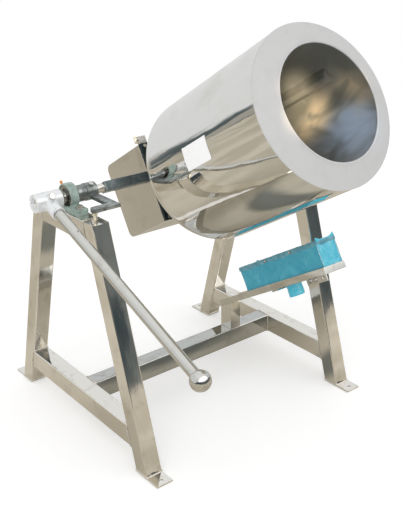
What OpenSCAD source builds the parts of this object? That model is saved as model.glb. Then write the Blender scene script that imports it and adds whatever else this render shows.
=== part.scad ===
// Tilting coating mixer: a polished pan on a tilt shaft between two A-frames.
// Origin: on the floor, midway between the A-frames and under the tilt shaft.
// +X runs along the tilt shaft, the pan's mouth looks towards -Y, +Z is up.

/* [Stand] */
// Distance between the A-frames, centre to centre
frame_span = 723; // [700:1:800]
// Height of the A-frames' flat tops
stand_h = 660; // [600:1:760]
// Width of every stand tube along the tilt shaft
tube_w = 50; // [44:1:56]
// Height of the top beams and low beams
beam_h = 60; // [50:1:64]
// Depth of a leg's tube, square to the leg
leg_d = 50; // [44:1:56]
// Wall of the stand's tubes
tube_t = 2; // [1.5:0.1:3]
// Front face of a front leg at the floor, from the middle
foot_reach = 348; // [330:1:400]
// Front face of a front leg at the top, from the middle
top_reach = 155.5; // [145:0.5:180]
// Top face of the low beams
low_beam_top = 127; // [110:1:150]
// Thickness of a foot plate
plate_t = 5; // [4:0.5:8]
// How far a foot plate stands out in front of its leg
plate_out = 46; // [40:1:60]
// Radius of the floor bolt hole in a foot plate
anchor_r = 5.5; // [4.5:0.5:6.5]

/* [Pillow bearings] */
// Height of the shaft's centre over the bearing's foot
brg_h = 36.5; // [36:0.5:44]
// Radius of the cast ring
brg_ring_r = 35.5; // [34:0.5:36]
// Width of the cast ring along the shaft
brg_ring_w = 24; // [22:1:26]
// Length of the foot
brg_len = 140; // [134:1:146]
// Width of the foot
brg_foot_w = 38; // [34:1:42]
// Thickness of the foot at its bolts
brg_foot_t = 15; // [12:1:16]
// Distance between the two foot bolts
brg_bolt_gap = 105; // [100:1:108]
// Radius of the tilt shaft
shaft_r = 12.5; // [11:0.5:13]
// Outer radius of the bearing insert
insert_r = 26; // [25:0.5:27]
// Width of the insert's outer ring
insert_w = 17; // [15:1:18]
// Width of the insert's inner ring
inner_w = 34; // [30:1:36]
// Outer radius of the insert's inner ring
inner_r = 17; // [16.5:0.5:17.5]

/* [Pan] */
// Angle of the pan's axis over the level at rest
pan_tilt = 30.4; // [20:0.1:40]
// Outer radius of the pan
pan_r = 202; // [180:1:215]
// Length of the pan from its rim to its back
pan_len = 514; // [470:1:520]
// Radius of the pan's rounded back corner
pan_corner_r = 45; // [20:1:60]
// Wall of the pan
pan_t = 2; // [1.5:0.1:3]
// Radius of the mouth
mouth_r = 143; // [120:1:155]
// Height of the coned front ring
lip_h = 23.5; // [15:0.5:30]
// Radius of the bead round the mouth
bead_r = 3; // [2:0.5:4]
// Gap from the pan's back to the tilt shaft's centre, along the pan's axis
pan_back_gap = 116; // [110:1:130]
// Pan axis below the tilt shaft, square to the pan's axis
pan_drop = 43.2; // [40:0.2:46]
// Number of mixing flights
flight_count = 3; // [2:1:6]
// Height of a mixing flight
flight_h = 24; // [15:1:30]
// Width of a mixing flight at the wall
flight_w = 46; // [30:1:60]
// Length of a mixing flight
flight_len = 330; // [250:1:380]

/* [Drive housing] */
// Width of the drive cover
cover_w = 226; // [216:1:240]
// Depth of the drive cover, along the pan's axis
cover_len = 204; // [200:1:230]
// Top of the drive cover over the pan's axis
cover_up = 135; // [120:1:140]
// Bottom of the drive cover below the pan's axis
cover_down = 92; // [80:1:100]
// Radius of the drive cover's back corners
cover_corner_r = 20; // [10:1:30]
// Wall of the drive cover
cover_t = 2; // [1.5:0.1:2.5]
// Thickness of the mounting plate
mount_t = 10; // [8:1:12]
// Side of the square carrier bars
bar_s = 28; // [26:1:30]
// Gap from an A-frame's centre to the carrier bar's end
bar_end_gap = 105.5; // [95:0.5:115]
// Radius of the output shaft
out_r = 15; // [14:0.5:16]

/* [Lever and stop] */
// Lever's distance from the left A-frame's centre
lever_out = 62.5; // [60:0.5:70]
// Length of the lever from the tilt shaft to the ball's centre
lever_len = 680; // [560:1:700]
// Angle of the lever below the level at rest
lever_dip = 21.2; // [15:0.1:30]
// Radius of the lever
lever_r = 14; // [12:0.5:15]
// Radius of the ball knob
ball_r = 25; // [20:1:30]
// Radius of the lever hub
hub_r = 25; // [24:0.5:28]
// Width of the lever hub
hub_w = 76; // [60:1:80]
// Width of the stop arm's flat bar
arm_w = 26; // [22:1:28]
// Thickness of the stop arm's flat bar
arm_t = 10; // [8:1:12]
// Height of the stop bolt's head over the stand
stop_h = 24; // [20:1:26]

/* [Box and tray] */
// Slope of the tray
tray_tilt = 30.4; // [25:0.1:33]
// Width of the tray
tray_w = 82; // [76:1:86]
// Height of the tray's rails
rail_h = 20; // [14:1:26]
// Sheet of the tray
tray_t = 2; // [1.5:0.1:3]
// Height of the tray's underside over the floor, above the long beam
tray_mid_h = 207; // [200:1:215]
// Gap from the right A-frame's centre to the tray's far side
tray_gap = 186.5; // [180:0.5:195]
// Reach of the tray in front of the long beam, along its slope
tray_front = 500; // [480:1:520]
// Reach of the tray's tongue behind the long beam, along its slope
tray_back = 157; // [130:1:160]
// Width of the box
box_w = 72; // [66:1:74]
// Height of the box below its lid
box_h = 94; // [80:1:100]
// Length of the box
box_len = 371; // [330:1:380]
// Height of the lid's side flanges
lid_h = 12; // [10:1:18]
// Sheet of the box and its lid
box_t = 1.5; // [1:0.1:2]
// Radius of the spigot under the box
spigot_r = 24; // [18:1:25]
// Length of the spigot below the tray
spigot_len = 37; // [25:1:40]

/* [Hidden] */
// Round surfaces, and round surfaces of small pieces
$fn = 64;
fine = 32;
// Every cut runs past its piece by this much
over = 1;
// Running clearance of a shaft, and seating clearance of a fixed round fit
run_gap = 0.06;
seat_gap = 0.05;
// Clearance of a bolt in its hole
bolt_gap = 0.5;

// Places on the stand
frame_x = frame_span / 2;
lever_x = frame_x + lever_out;
bar_end = frame_x - bar_end_gap;
tray_x = frame_x - tray_gap;
lean = atan((foot_reach - top_reach) / stand_h);
leg_y = leg_d / cos(lean);
axis_h = stand_h + brg_h;
function leg_front(z) = foot_reach - z * tan(lean);
low_mid = low_beam_top - beam_h / 2;
anchor_out = 28;
cap_t = 5;

// Pillow bearing details
brg_corner_r = 9;
brg_web_w = 18;
web_foot_share = 0.62;
web_ring_share = 0.5;
foot_bolt_r = 5;
slot_extra = 3;
rim_t = 4;
rim_depth = 5;
ball_pitch_r = 20;
ball_rad = 3.4;
ball_count = 9;
track_gap = 0.1;
roll_gap = 0.3;
outer_in_r = 22.2;
inner_race_r = 17.8;
nipple_lean = 38;
nipple_r = 3;
nipple_h = 5;
nipple_cap_r = 3.6;
nipple_cap_h = 6;
washer_t = 2;
washer_r = 10.5;
foot_head_h = 6.4;
foot_head_af = 17;
nut_h = 8;
bolt_tail = 6;

// Pan details
rim_reach = pan_len + pan_back_gap;
bead_share = 0.9;
flight_top_share = 0.3;
flight_back_gap = 70;
hub_flange_r = 75;
hub_flange_t = 8;
hub_boss_r = 27;
hub_boss_len = 30;
stud_r = 4;
stud_ring_r = 58;
stud_count = 6;
stud_nut_af = 13;
stud_nut_h = 6.5;
stud_tail = 3;

// Drive places, measured behind the rim along the pan's axis
plate_back = rim_reach - bar_s / 2;
plate_front = plate_back - mount_t;
cover_flange = 14;
bar_in = 70;
shaft_stub = 16;
pan_brg_len = 44;
pan_brg_r = 46;
pan_brg_flange_r = 62;
pan_brg_flange_t = 10;
pan_brg_bolt_ring = 54;
pan_brg_out_r = 31;
pan_brg_out_in_r = 26.6;
pan_brg_in_out_r = 19.4;
pan_brg_w = 16;
pan_ball_pitch = 23;
pan_ball_r = 4.6;
pan_ball_count = 9;
pan_shoulder_r = 26;
cap_head_r = 6.5;
cap_head_h = 8;
cap_shank_r = 4;

// Gear train: teeth, modules and widths
out_teeth = 60;
mid_small_teeth = 12;
mid_big_teeth = 60;
motor_teeth = 10;
slow_module = 1;
fast_module = 0.8;
slow_w = 14;
fast_w = 9;
motor_offset = 20;
tooth_tip_share = 0.22;
tooth_root_share = 0.52;
addendum_share = 0.9;
dedendum_share = 1.2;
case_len = 58;
case_t = 5;
gear_gap = 2;
pin_r = 3;
motor_r = 44;
motor_len = 124;
motor_t = 5;
rotor_r = 28;
rotor_len = 70;
rotor_shaft_r = 6;
fin_count = 24;
fin_h = 3;
fin_w = 2.5;
slow_dist = slow_module * (out_teeth + mid_small_teeth) / 2;
fast_dist = fast_module * (mid_big_teeth + motor_teeth) / 2;
// The middle gear's axis, seen from the output shaft, by the law of cosines
mid_up = (slow_dist * slow_dist - fast_dist * fast_dist + motor_offset * motor_offset) / (2 * motor_offset);
mid_side = sqrt(slow_dist * slow_dist - mid_up * mid_up);
slow_at = plate_back + case_t + gear_gap;
fast_at = slow_at + slow_w + gear_gap;
case_foot = 12;
case_foot_t = 6;
case_left = out_teeth * slow_module / 2 + slow_module + gear_gap + case_t;
case_right = mid_side + mid_big_teeth * fast_module / 2 + fast_module + gear_gap + case_t;
case_low = case_left;
case_high = mid_up + mid_big_teeth * fast_module / 2 + fast_module + gear_gap + case_t;
case_screw_r = 2.5;
case_head_r = 4.5;
case_head_h = 5;

// Lever details
hub_out = 41;
socket_r = 19;
socket_len = 60;
socket_floor = 27;
split_w = 3;
end_bore_r = 15;
end_bore_depth = 7;
set_lift = 36;
set_bolt_r = 5;
set_head_af = 16;
set_head_h = 6.5;
set_boss_r = 10.5;
set_boss_h = 4.5;
peg_hole_r = 2;
peg_hole_at = 152;
ball_seat_share = 0.75;

// Collar and stop arm
collar_r = 22.5;
collar_gap = 45.5;
collar_in = frame_x - collar_gap;
collar_w = 26;
arm_hub_r = 24;
arm_hub_w = 32;
arm_leg_in = 3;
arm_foot_y = 122;
arm_tip_over = 7;
arm_under = stand_h + stop_h;
arm_bolt_r = 4;
arm_bolt_af = 13;
arm_bolt_h = 6;
arm_bolt_up = 62;
stop_y = 127;
stop_r = 5;
stop_af = 15;
stop_head_h = 7;
stop_nut_h = 6;
stop_tail = 20;

// Lug and wing screw on the plate's top edge
lug_w = 26;
lug_h = 22;
lug_up = 14;
wing_screw_r = 3;
wing_shank = 16;
wing_hub_r = 5;
wing_hub_h = 6;
wing_span = 22;
wing_h = 9;
wing_t = 2.5;

// Cover screws
screw_r = 2.5;
screw_head_r = 5;
screw_head_h = 3;
screw_at_share = 0.44;

// Tray, box and bracket
post_w = 40;
rail_back = 25;
lid_over = 1;
spigot_at = 308;
spigot_t = 2;
lid_screw_shares = [0.31, 0.63];
lid_screw_r = 2;
lid_head_r = 4;
lid_head_h = 2.2;
bracket_t = 5;
strip_w = 28;
strip_at = 264;
tab_drop = 28;
tab_from = 326;
tab_to = 232;
tab_hole_shares = [0.16, 0.585, 0.85];
tab_hole_z = 14;
tab_bolt_r = 4;
tab_bolt_af = 13;
tab_bolt_h = 5.5;
tab_bolt_tail = 16;

// Frames of reference

// Along a leg's side view: children are drawn in (Y, Z) and grow along X
module side_plate(x, w) {
    translate([x, 0, 0]) rotate([90, 0, 90]) linear_extrude(w) children();
}

// The tilting assembly: origin on the tilt shaft, mouth towards -Y
module tilting() {
    translate([0, 0, axis_h]) rotate([-pan_tilt, 0, 0]) children();
}

// The pan's axis: Z runs back from the rim, -Y is up
module pan_axis() {
    tilting() translate([0, -rim_reach, -pan_drop]) rotate([-90, 0, 0]) children();
}

// The tray's own slope: Y runs down and back, Z is square to the sheet
module tray_frame() {
    translate([tray_x, 0, tray_mid_h]) rotate([-tray_tilt, 0, 0]) children();
}

// The lever: Z runs out along it from the tilt shaft
module lever_frame() {
    translate([-lever_x, 0, axis_h]) rotate([90 + lever_dip, 0, 0]) children();
}

// A cylinder along X from x0, on the tilt shaft's line
module shaft_round(x0, len, r) {
    translate([x0, 0, axis_h]) rotate([0, 90, 0]) cylinder(r = r, h = len);
}

// Hexagon across its flats
module hex(af, h) {
    cylinder(r = af / sqrt(3), h = h, $fn = 6);
}

// A rounded rectangle, centred
module round_rect(w, h, r) {
    square([w - 2 * r, h], center = true);
    square([w, h - 2 * r], center = true);
    for (x = [-1, 1], y = [-1, 1])
        translate([x * (w / 2 - r), y * (h / 2 - r)]) circle(r = r, $fn = fine);
}

// Stand

module leg_outline(inset) {
    lo = plate_t + (inset > 0 ? cap_t : 0);
    hi = stand_h - (inset > 0 ? cap_t : 0);
    side = inset / cos(lean);
    polygon([[-leg_front(lo) + side, lo], [-leg_front(lo) + leg_y - side, lo],
        [-leg_front(hi) + leg_y - side, hi], [-leg_front(hi) + side, hi]]);
}

// A leaning tube with a closed top and foot; back legs are its mirror image
module leg(x, back) {
    mirror([0, back ? 1 : 0, 0]) difference() {
        side_plate(x - tube_w / 2, tube_w) leg_outline(0);
        side_plate(x - tube_w / 2 + tube_t, tube_w - 2 * tube_t) leg_outline(tube_t);
    }
}

module left_front_leg() {
    color("silver") difference() {
        leg(-frame_x, false);
        translate([-frame_x, -stop_y, stand_h - stop_tail])
            cylinder(r = stop_r + seat_gap, h = stop_tail + over, $fn = fine);
    }
}

module left_back_leg() {
    color("silver") leg(-frame_x, true);
}

module right_front_leg() {
    color("silver") difference() {
        leg(frame_x, false);
        tray_bolt_places() cylinder(r = tab_bolt_r + bolt_gap, h = tab_bolt_tail + over, $fn = fine);
    }
}

module right_back_leg() {
    color("silver") leg(frame_x, true);
}

// A level tube that fills the space between the two legs of one A-frame
module beam_outline(lo, hi, cap) {
    polygon([[-leg_front(lo) + leg_y + cap, lo], [leg_front(lo) - leg_y - cap, lo],
        [leg_front(hi) - leg_y - cap, hi], [-leg_front(hi) + leg_y + cap, hi]]);
}

module frame_beam(x, lo) {
    inner = tube_w - 2 * tube_t;
    difference() {
        side_plate(x - tube_w / 2, tube_w) beam_outline(lo, lo + beam_h, 0);
        side_plate(x - inner / 2, inner) beam_outline(lo + tube_t, lo + beam_h - tube_t, cap_t);
    }
}

module top_beam(x) {
    difference() {
        frame_beam(x, stand_h - beam_h);
        for (s = [-1, 1]) translate([x, s * brg_bolt_gap / 2, stand_h - beam_h - over])
            cylinder(r = foot_bolt_r + bolt_gap, h = beam_h + 2 * over, $fn = fine);
    }
}

module left_top_beam() {
    color("silver") top_beam(-frame_x);
}

module right_top_beam() {
    color("silver") top_beam(frame_x);
}

module left_crossbar() {
    color("silver") frame_beam(-frame_x, low_beam_top - beam_h);
}

module right_crossbar() {
    color("silver") frame_beam(frame_x, low_beam_top - beam_h);
}

module long_beam() {
    len = frame_span - tube_w;
    color("silver") translate([-len / 2, 0, low_mid]) rotate([90, 0, 90]) difference() {
        linear_extrude(len) square([tube_w, beam_h], center = true);
        translate([0, 0, cap_t]) linear_extrude(len - 2 * cap_t)
            square([tube_w - 2 * tube_t, beam_h - 2 * tube_t], center = true);
    }
}

module foot_plates() {
    long = plate_out + leg_y;
    color("silver") for (sx = [-1, 1], sy = [-1, 1])
        translate([sx * frame_x, sy * (foot_reach + plate_out - long / 2), 0]) difference() {
            translate([-tube_w / 2, -long / 2, 0]) cube([tube_w, long, plate_t]);
            translate([0, sy * (long / 2 - plate_out + anchor_out), -over])
                cylinder(r = anchor_r, h = plate_t + 2 * over, $fn = fine);
        }
}

// Pillow bearings

module brg_side() {
    rise = brg_h - brg_ring_r;
    translate([0, brg_h]) circle(r = brg_ring_r);
    polygon([[-brg_len / 2 * web_foot_share, 0], [brg_len / 2 * web_foot_share, 0],
        [brg_len / 2 * web_foot_share, brg_foot_t], [brg_ring_r * cos(30), brg_h * web_ring_share + rise],
        [-brg_ring_r * cos(30), brg_h * web_ring_share + rise],
            [-brg_len / 2 * web_foot_share, brg_foot_t]]);
}

module bearing_casting(x, out) {
    color([0.53, 0.61, 0.58]) translate([x, 0, stand_h]) difference() {
        union() {
            translate([-brg_ring_w / 2, 0, 0]) rotate([90, 0, 90]) linear_extrude(brg_ring_w)
                intersection() {
                    translate([0, brg_h]) circle(r = brg_ring_r);
                    translate([-brg_ring_r, 0]) square([2 * brg_ring_r, brg_h + brg_ring_r]);
                }
            translate([-brg_web_w / 2, 0, 0]) rotate([90, 0, 90]) linear_extrude(brg_web_w)
                intersection() {
                    brg_side();
                    translate([-brg_len / 2, 0]) square([brg_len, brg_h + brg_ring_r]);
                }
            linear_extrude(brg_foot_t) round_rect(brg_foot_w, brg_len, brg_corner_r);
        }
        translate([-brg_ring_w / 2 - over, 0, brg_h]) rotate([0, 90, 0])
            cylinder(r = insert_r + seat_gap, h = brg_ring_w + 2 * over);
        for (s = [-1, 1]) translate([s * (brg_ring_w / 2 - rim_depth / 2), 0, brg_h]) rotate([0, 90, 0])
            cylinder(r = brg_ring_r - rim_t, h = rim_depth + s * over, center = true);
        for (s = [-1, 1]) {
            for (d = [-slot_extra, slot_extra]) translate([0, s * brg_bolt_gap / 2 + d, -over])
                cylinder(r = foot_bolt_r + bolt_gap, h = brg_foot_t + 2 * over, $fn = fine);
            translate([-foot_bolt_r - bolt_gap, s * brg_bolt_gap / 2 - slot_extra, -over])
                cube([2 * (foot_bolt_r + bolt_gap), 2 * slot_extra, brg_foot_t + 2 * over]);
            translate([0, s * brg_bolt_gap / 2, brg_foot_t])
                cylinder(r = washer_r + bolt_gap, h = brg_h, $fn = fine);
        }
        translate([out * brg_ring_w / 4, 0, brg_h]) rotate([-nipple_lean, 0, 0]) translate([0, 0, insert_r])
            cylinder(r = nipple_r + seat_gap, h = brg_ring_r, $fn = fine);
    }
}

module left_bearing_housing() {
    bearing_casting(-frame_x, -1);
}

module right_bearing_housing() {
    bearing_casting(frame_x, 1);
}

// A ball bearing's rings in section: the track is a round groove
module ring_section(r0, r1, w, track_r, gap) {
    difference() {
        translate([r0, -w / 2]) square([r1 - r0, w]);
        translate([track_r, 0]) circle(r = ball_rad + gap, $fn = fine);
    }
}

module bearing_outer_rings() {
    color("gainsboro") for (s = [-1, 1]) translate([s * frame_x, 0, axis_h]) rotate([0, 90, 0])
        rotate_extrude() ring_section(outer_in_r, insert_r, insert_w, ball_pitch_r, track_gap);
}

module bearing_inner_rings() {
    color("whitesmoke") for (s = [-1, 1]) translate([s * frame_x, 0, axis_h]) rotate([0, 90, 0])
        rotate_extrude() {
            ring_section(shaft_r + seat_gap, inner_race_r, insert_w, ball_pitch_r, roll_gap);
            for (d = [-1, 1]) translate([shaft_r + seat_gap, d > 0 ? insert_w / 2 : -inner_w / 2])
                square([inner_r - shaft_r - seat_gap, (inner_w - insert_w) / 2]);
        }
}

module bearing_balls() {
    color("silver") for (s = [-1, 1], k = [0 : ball_count - 1])
        translate([s * frame_x, 0, axis_h]) rotate([k * 360 / ball_count, 0, 0])
            translate([0, 0, ball_pitch_r]) sphere(r = ball_rad, $fn = fine);
}

// Hexagon bolts with their washers and nuts, right through the top beams
module bearing_bolts() {
    grip = beam_h + brg_foot_t;
    color("lightgray") for (sx = [-1, 1], sy = [-1, 1])
        translate([sx * frame_x, sy * brg_bolt_gap / 2, stand_h + brg_foot_t]) {
            difference() {
                cylinder(r = washer_r, h = washer_t, $fn = fine);
                translate([0, 0, -over])
                    cylinder(r = foot_bolt_r + seat_gap, h = washer_t + 2 * over, $fn = fine);
            }
            translate([0, 0, washer_t]) hex(foot_head_af, foot_head_h);
            translate([0, 0, -grip - nut_h - bolt_tail])
                cylinder(r = foot_bolt_r, h = grip + nut_h + bolt_tail + washer_t, $fn = fine);
            translate([0, 0, -grip - nut_h]) difference() {
                hex(foot_head_af, nut_h);
                translate([0, 0, -over])
                    cylinder(r = foot_bolt_r + seat_gap, h = nut_h + 2 * over, $fn = fine);
            }
        }
}

module grease_nipples() {
    color("orange") for (s = [-1, 1])
        translate([s * (frame_x + brg_ring_w / 4), 0, axis_h]) rotate([-nipple_lean, 0, 0])
            translate([0, 0, insert_r + seat_gap + nipple_r / 2]) {
                cylinder(r = nipple_r, h = brg_ring_r - insert_r + nipple_h, $fn = fine);
                translate([0, 0, brg_ring_r - insert_r + nipple_h - nipple_cap_h / 2])
                    cylinder(r = nipple_cap_r, h = nipple_cap_h, $fn = fine);
            }
}

// Stop bolt on the left A-frame

module stop_bolt() {
    color([0.8, 0.7, 0.5]) translate([-frame_x, -stop_y, stand_h]) {
        translate([0, 0, -stop_tail + over])
            cylinder(r = stop_r, h = stop_tail + stop_h - stop_head_h, $fn = fine);
        translate([0, 0, stop_h - stop_head_h]) intersection() {
            hex(stop_af, stop_head_h);
            cylinder(r1 = stop_af, r2 = stop_af / 2, h = stop_head_h, $fn = fine);
        }
    }
}

module stop_locknut() {
    color([0.8, 0.7, 0.5]) translate([-frame_x, -stop_y, stand_h]) difference() {
        hex(stop_af, stop_nut_h);
        translate([0, 0, -over]) cylinder(r = stop_r + seat_gap, h = stop_nut_h + 2 * over, $fn = fine);
    }
}

// Tray and box on the right of the stand

module tray_post() {
    under = tray_mid_h;
    half = tube_w / 2;
    color("silver") side_plate(tray_x, post_w)
        polygon([[-half, low_beam_top], [half, low_beam_top],
            [half, under - half * tan(tray_tilt)], [-half, under + half * tan(tray_tilt)]]);
}

module tray() {
    color("silver") tray_frame() difference() {
        union() {
            translate([0, -tray_front, 0]) cube([tray_w, tray_front + tray_back, tray_t]);
            translate([0, -tray_front, 0]) cube([tray_w, tray_front + rail_back, rail_h]);
        }
        translate([tray_t, -tray_front + tray_t, tray_t])
            cube([tray_w - 2 * tray_t, tray_front + rail_back, rail_h]);
        translate([tray_w / 2, -spigot_at, -over]) cylinder(r = spigot_r + bolt_gap, h = tray_t + 2 * over);
    }
}

// Places of the tab's holes on the leg's inner face; the first hole stays empty
module tab_places(first) {
    tray_frame() for (k = [first : len(tab_hole_shares) - 1])
        translate([frame_x - tube_w / 2 - tray_x, (tab_from - tab_to) * tab_hole_shares[k] - tab_from,
            -tab_hole_z])
            rotate([0, 90, 0]) children();
}

module tray_bolt_places() {
    tab_places(1) children();
}

// A strip under the tray, with a tab that is bolted to the right front leg
module tray_bracket() {
    reach = frame_x - tube_w / 2 - tray_x;
    color("lightgray") difference() {
        tray_frame() {
            translate([0, -strip_at - strip_w / 2, -bracket_t]) cube([reach, strip_w, bracket_t]);
            translate([reach - bracket_t, -tab_from, -tab_drop])
                cube([bracket_t, tab_from - tab_to, tab_drop]);
        }
        tab_places(0) translate([0, 0, -bracket_t - over])
            cylinder(r = tab_bolt_r + bolt_gap, h = bracket_t + 2 * over, $fn = fine);
    }
}

module tray_bolts() {
    color("whitesmoke") tray_bolt_places() {
        translate([0, 0, -bracket_t - tab_bolt_h]) hex(tab_bolt_af, tab_bolt_h);
        translate([0, 0, -bracket_t])
            cylinder(r = tab_bolt_r, h = bracket_t + tab_bolt_tail - over, $fn = fine);
    }
}

module box_place() {
    tray_frame() translate([tray_w / 2 - box_w / 2, -tray_front + tray_t, tray_t]) children();
}

module box_body() {
    color([0.35, 0.68, 0.78]) box_place() difference() {
        cube([box_w, box_len, box_h]);
        translate([box_t, box_t, box_t]) cube([box_w - 2 * box_t, box_len - 2 * box_t, box_h]);
        translate([box_w / 2, tray_front - tray_t - spigot_at, -over])
            cylinder(r = spigot_r - spigot_t, h = box_t + 2 * over);
        lid_screw_places() translate([0, 0, -box_t - over])
            cylinder(r = lid_screw_r + seat_gap, h = box_t + 2 * over, $fn = fine);
    }
}

module box_lid() {
    out = box_t + lid_over;
    color([0.42, 0.74, 0.83]) box_place() difference() {
        translate([-out, -out, box_h - lid_h]) cube([box_w + 2 * out, box_len + 2 * out, lid_h + box_t]);
        translate([-lid_over, -lid_over, box_h - lid_h - over])
            cube([box_w + 2 * lid_over, box_len + 2 * lid_over, lid_h + over]);
        lid_screw_places() cylinder(r = lid_screw_r + seat_gap, h = out + over, $fn = fine);
    }
}

// Places on the box's side walls, looking outward
module lid_screw_places() {
    for (s = [0, 1], share = lid_screw_shares)
        translate([s * box_w, box_len * share, box_h - lid_h / 2])
            rotate([0, s > 0 ? 90 : -90, 0]) children();
}

// A short tube below the box, closed at its lower end
module box_spigot() {
    color([0.35, 0.68, 0.78]) box_place() translate([box_w / 2, tray_front - tray_t - spigot_at, 0])
        difference() {
        translate([0, 0, -spigot_len - tray_t]) cylinder(r = spigot_r, h = spigot_len + tray_t);
        translate([0, 0, -spigot_len - tray_t + spigot_t])
            cylinder(r = spigot_r - spigot_t, h = spigot_len + tray_t);
    }
}

module lid_screws() {
    out = box_t + lid_over;
    color("whitesmoke") box_place() lid_screw_places() {
        translate([0, 0, out]) cylinder(r = lid_head_r, h = lid_head_h, $fn = fine);
        translate([0, 0, -box_t]) cylinder(r = lid_screw_r, h = out + box_t, $fn = fine);
    }
}

// Tilt shaft, lever and stop

module left_tilt_shaft() {
    out = lever_x + hub_out - end_bore_depth;
    color("gainsboro") shaft_round(-out, out - bar_end, shaft_r);
}

module right_tilt_shaft() {
    color("gainsboro") shaft_round(bar_end, frame_x + inner_w / 2 + shaft_stub - bar_end, shaft_r);
}

module carrier_bar(side) {
    color([0.36, 0.42, 0.43]) tilting()
        translate([side > 0 ? bar_in : -bar_end, -bar_s / 2, -bar_s / 2])
            cube([bar_end - bar_in, bar_s, bar_s]);
}

module left_carrier_bar() {
    carrier_bar(-1);
}

module right_carrier_bar() {
    carrier_bar(1);
}

// A cast hub: shaft bore, lever socket, split and a boss for the set bolt
module lever_hub() {
    color([0.86, 0.88, 0.89]) difference() {
        union() {
            shaft_round(-lever_x - hub_out, hub_w, hub_r);
            lever_frame() cylinder(r = socket_r, h = socket_len);
            translate([-lever_x, 0, axis_h]) rotate([90 - set_lift, 0, 0])
                cylinder(r = set_boss_r, h = hub_r + set_boss_h, $fn = fine);
        }
        shaft_round(-lever_x - hub_out - over, hub_w + 2 * over, shaft_r + seat_gap);
        shaft_round(-lever_x - hub_out - over, end_bore_depth + over, end_bore_r);
        lever_frame() translate([0, 0, socket_floor]) cylinder(r = lever_r + seat_gap, h = socket_len);
        translate([-lever_x, 0, axis_h]) rotate([90 - set_lift, 0, 0])
            cylinder(r = set_bolt_r + seat_gap, h = hub_r + set_boss_h + over, $fn = fine);
        translate([-lever_x - hub_out - over, 0, axis_h - split_w / 2])
            cube([hub_out - socket_r, hub_r + over, split_w]);
    }
}

module lever_rod() {
    color("gainsboro") lever_frame() difference() {
        translate([0, 0, socket_floor])
            cylinder(r = lever_r, h = lever_len - ball_r * ball_seat_share - socket_floor);
        translate([0, 0, peg_hole_at]) rotate([90, 0, 0])
            translate([0, 0, -lever_r - over]) cylinder(r = peg_hole_r, h = lever_r / 2 + over, $fn = fine);
    }
}

module ball_knob() {
    color("gainsboro") lever_frame() translate([0, 0, lever_len]) difference() {
        sphere(r = ball_r);
        translate([0, 0, -ball_r - over])
            cylinder(r = lever_r + seat_gap, h = ball_r * (1 - ball_seat_share) + over);
    }
}

module shaft_collar() {
    color([0.4, 0.43, 0.44]) difference() {
        shaft_round(-collar_in - collar_w, collar_w, collar_r);
        shaft_round(-collar_in - collar_w - over, collar_w + 2 * over, shaft_r + seat_gap);
    }
}

// A ring round the shaft with an arm that runs forward and turns out over the stop bolt
module stop_arm() {
    x0 = -collar_in;
    tip_x = -frame_x - arm_tip_over;
    foot = arm_foot_y + arm_w / 2;
    color([0.45, 0.46, 0.48]) difference() {
        union() {
            shaft_round(x0, arm_hub_w, arm_hub_r);
            translate([x0 + arm_leg_in, -foot, arm_under]) cube([arm_w, foot, arm_t]);
            translate([tip_x + arm_w / 2, -foot, arm_under])
                cube([x0 + arm_leg_in + arm_w - tip_x - arm_w / 2, arm_w, arm_t]);
            translate([tip_x + arm_w / 2, -arm_foot_y, arm_under]) cylinder(r = arm_w / 2, h = arm_t);
        }
        shaft_round(x0 - over, arm_hub_w + 2 * over, shaft_r + seat_gap);
        arm_bolt_place() translate([0, 0, shaft_r])
            cylinder(r = arm_bolt_r + seat_gap, h = arm_hub_r, $fn = fine);
    }
}

module arm_bolt_place() {
    translate([-collar_in + arm_hub_w / 2, 0, axis_h]) rotate([90 - arm_bolt_up, 0, 0]) children();
}

// One bolt clamps the lever hub to its shaft, the other the stop arm
module clamp_bolts() {
    color("whitesmoke") {
        translate([-lever_x, 0, axis_h]) rotate([90 - set_lift, 0, 0]) {
            translate([0, 0, shaft_r + seat_gap])
                cylinder(r = set_bolt_r, h = hub_r + set_boss_h - shaft_r - seat_gap, $fn = fine);
            translate([0, 0, hub_r + set_boss_h]) hex(set_head_af, set_head_h);
        }
        arm_bolt_place() {
            translate([0, 0, shaft_r + seat_gap])
                cylinder(r = arm_bolt_r, h = arm_hub_r - shaft_r, $fn = fine);
            translate([0, 0, arm_hub_r + seat_gap]) hex(arm_bolt_af, arm_bolt_h);
        }
    }
}

// Drive housing, drawn on the pan's axis

// The housing's outline across the pan's axis, with the pan's axis at the origin
module across(inset) {
    translate([-cover_w / 2 + inset, -cover_up + inset])
        square([cover_w - 2 * inset, cover_up + cover_down - 2 * inset]);
}

module mounting_plate() {
    color([0.2, 0.23, 0.24]) pan_axis() difference() {
        translate([0, 0, plate_front]) linear_extrude(mount_t) across(0);
        translate([0, 0, plate_front - over]) cylinder(r = pan_shoulder_r, h = mount_t + 2 * over);
        for (k = [0 : 3]) rotate(45 + k * 90) translate([pan_brg_bolt_ring, 0, plate_front - over])
            cylinder(r = cap_shank_r + seat_gap, h = mount_t + 2 * over, $fn = fine);
        cover_screw_places() translate([0, 0, -over])
            cylinder(r = screw_r + seat_gap, h = mount_t + 2 * over, $fn = fine);
        case_screw_places() translate([0, 0, -mount_t - over])
            cylinder(r = case_screw_r + seat_gap, h = mount_t + 2 * over, $fn = fine);
    }
}

// A lug that stands on the plate's top edge, at its left end
module plate_lug() {
    color("gainsboro") pan_axis() difference() {
        translate([-cover_w / 2, -cover_up - lug_h, plate_front]) cube([lug_w, lug_h, mount_t]);
        translate([-cover_w / 2 - over, -cover_up - lug_up, plate_front + mount_t / 2]) rotate([0, 90, 0])
            cylinder(r = wing_screw_r + seat_gap, h = lug_w + 2 * over, $fn = fine);
    }
}

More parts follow.
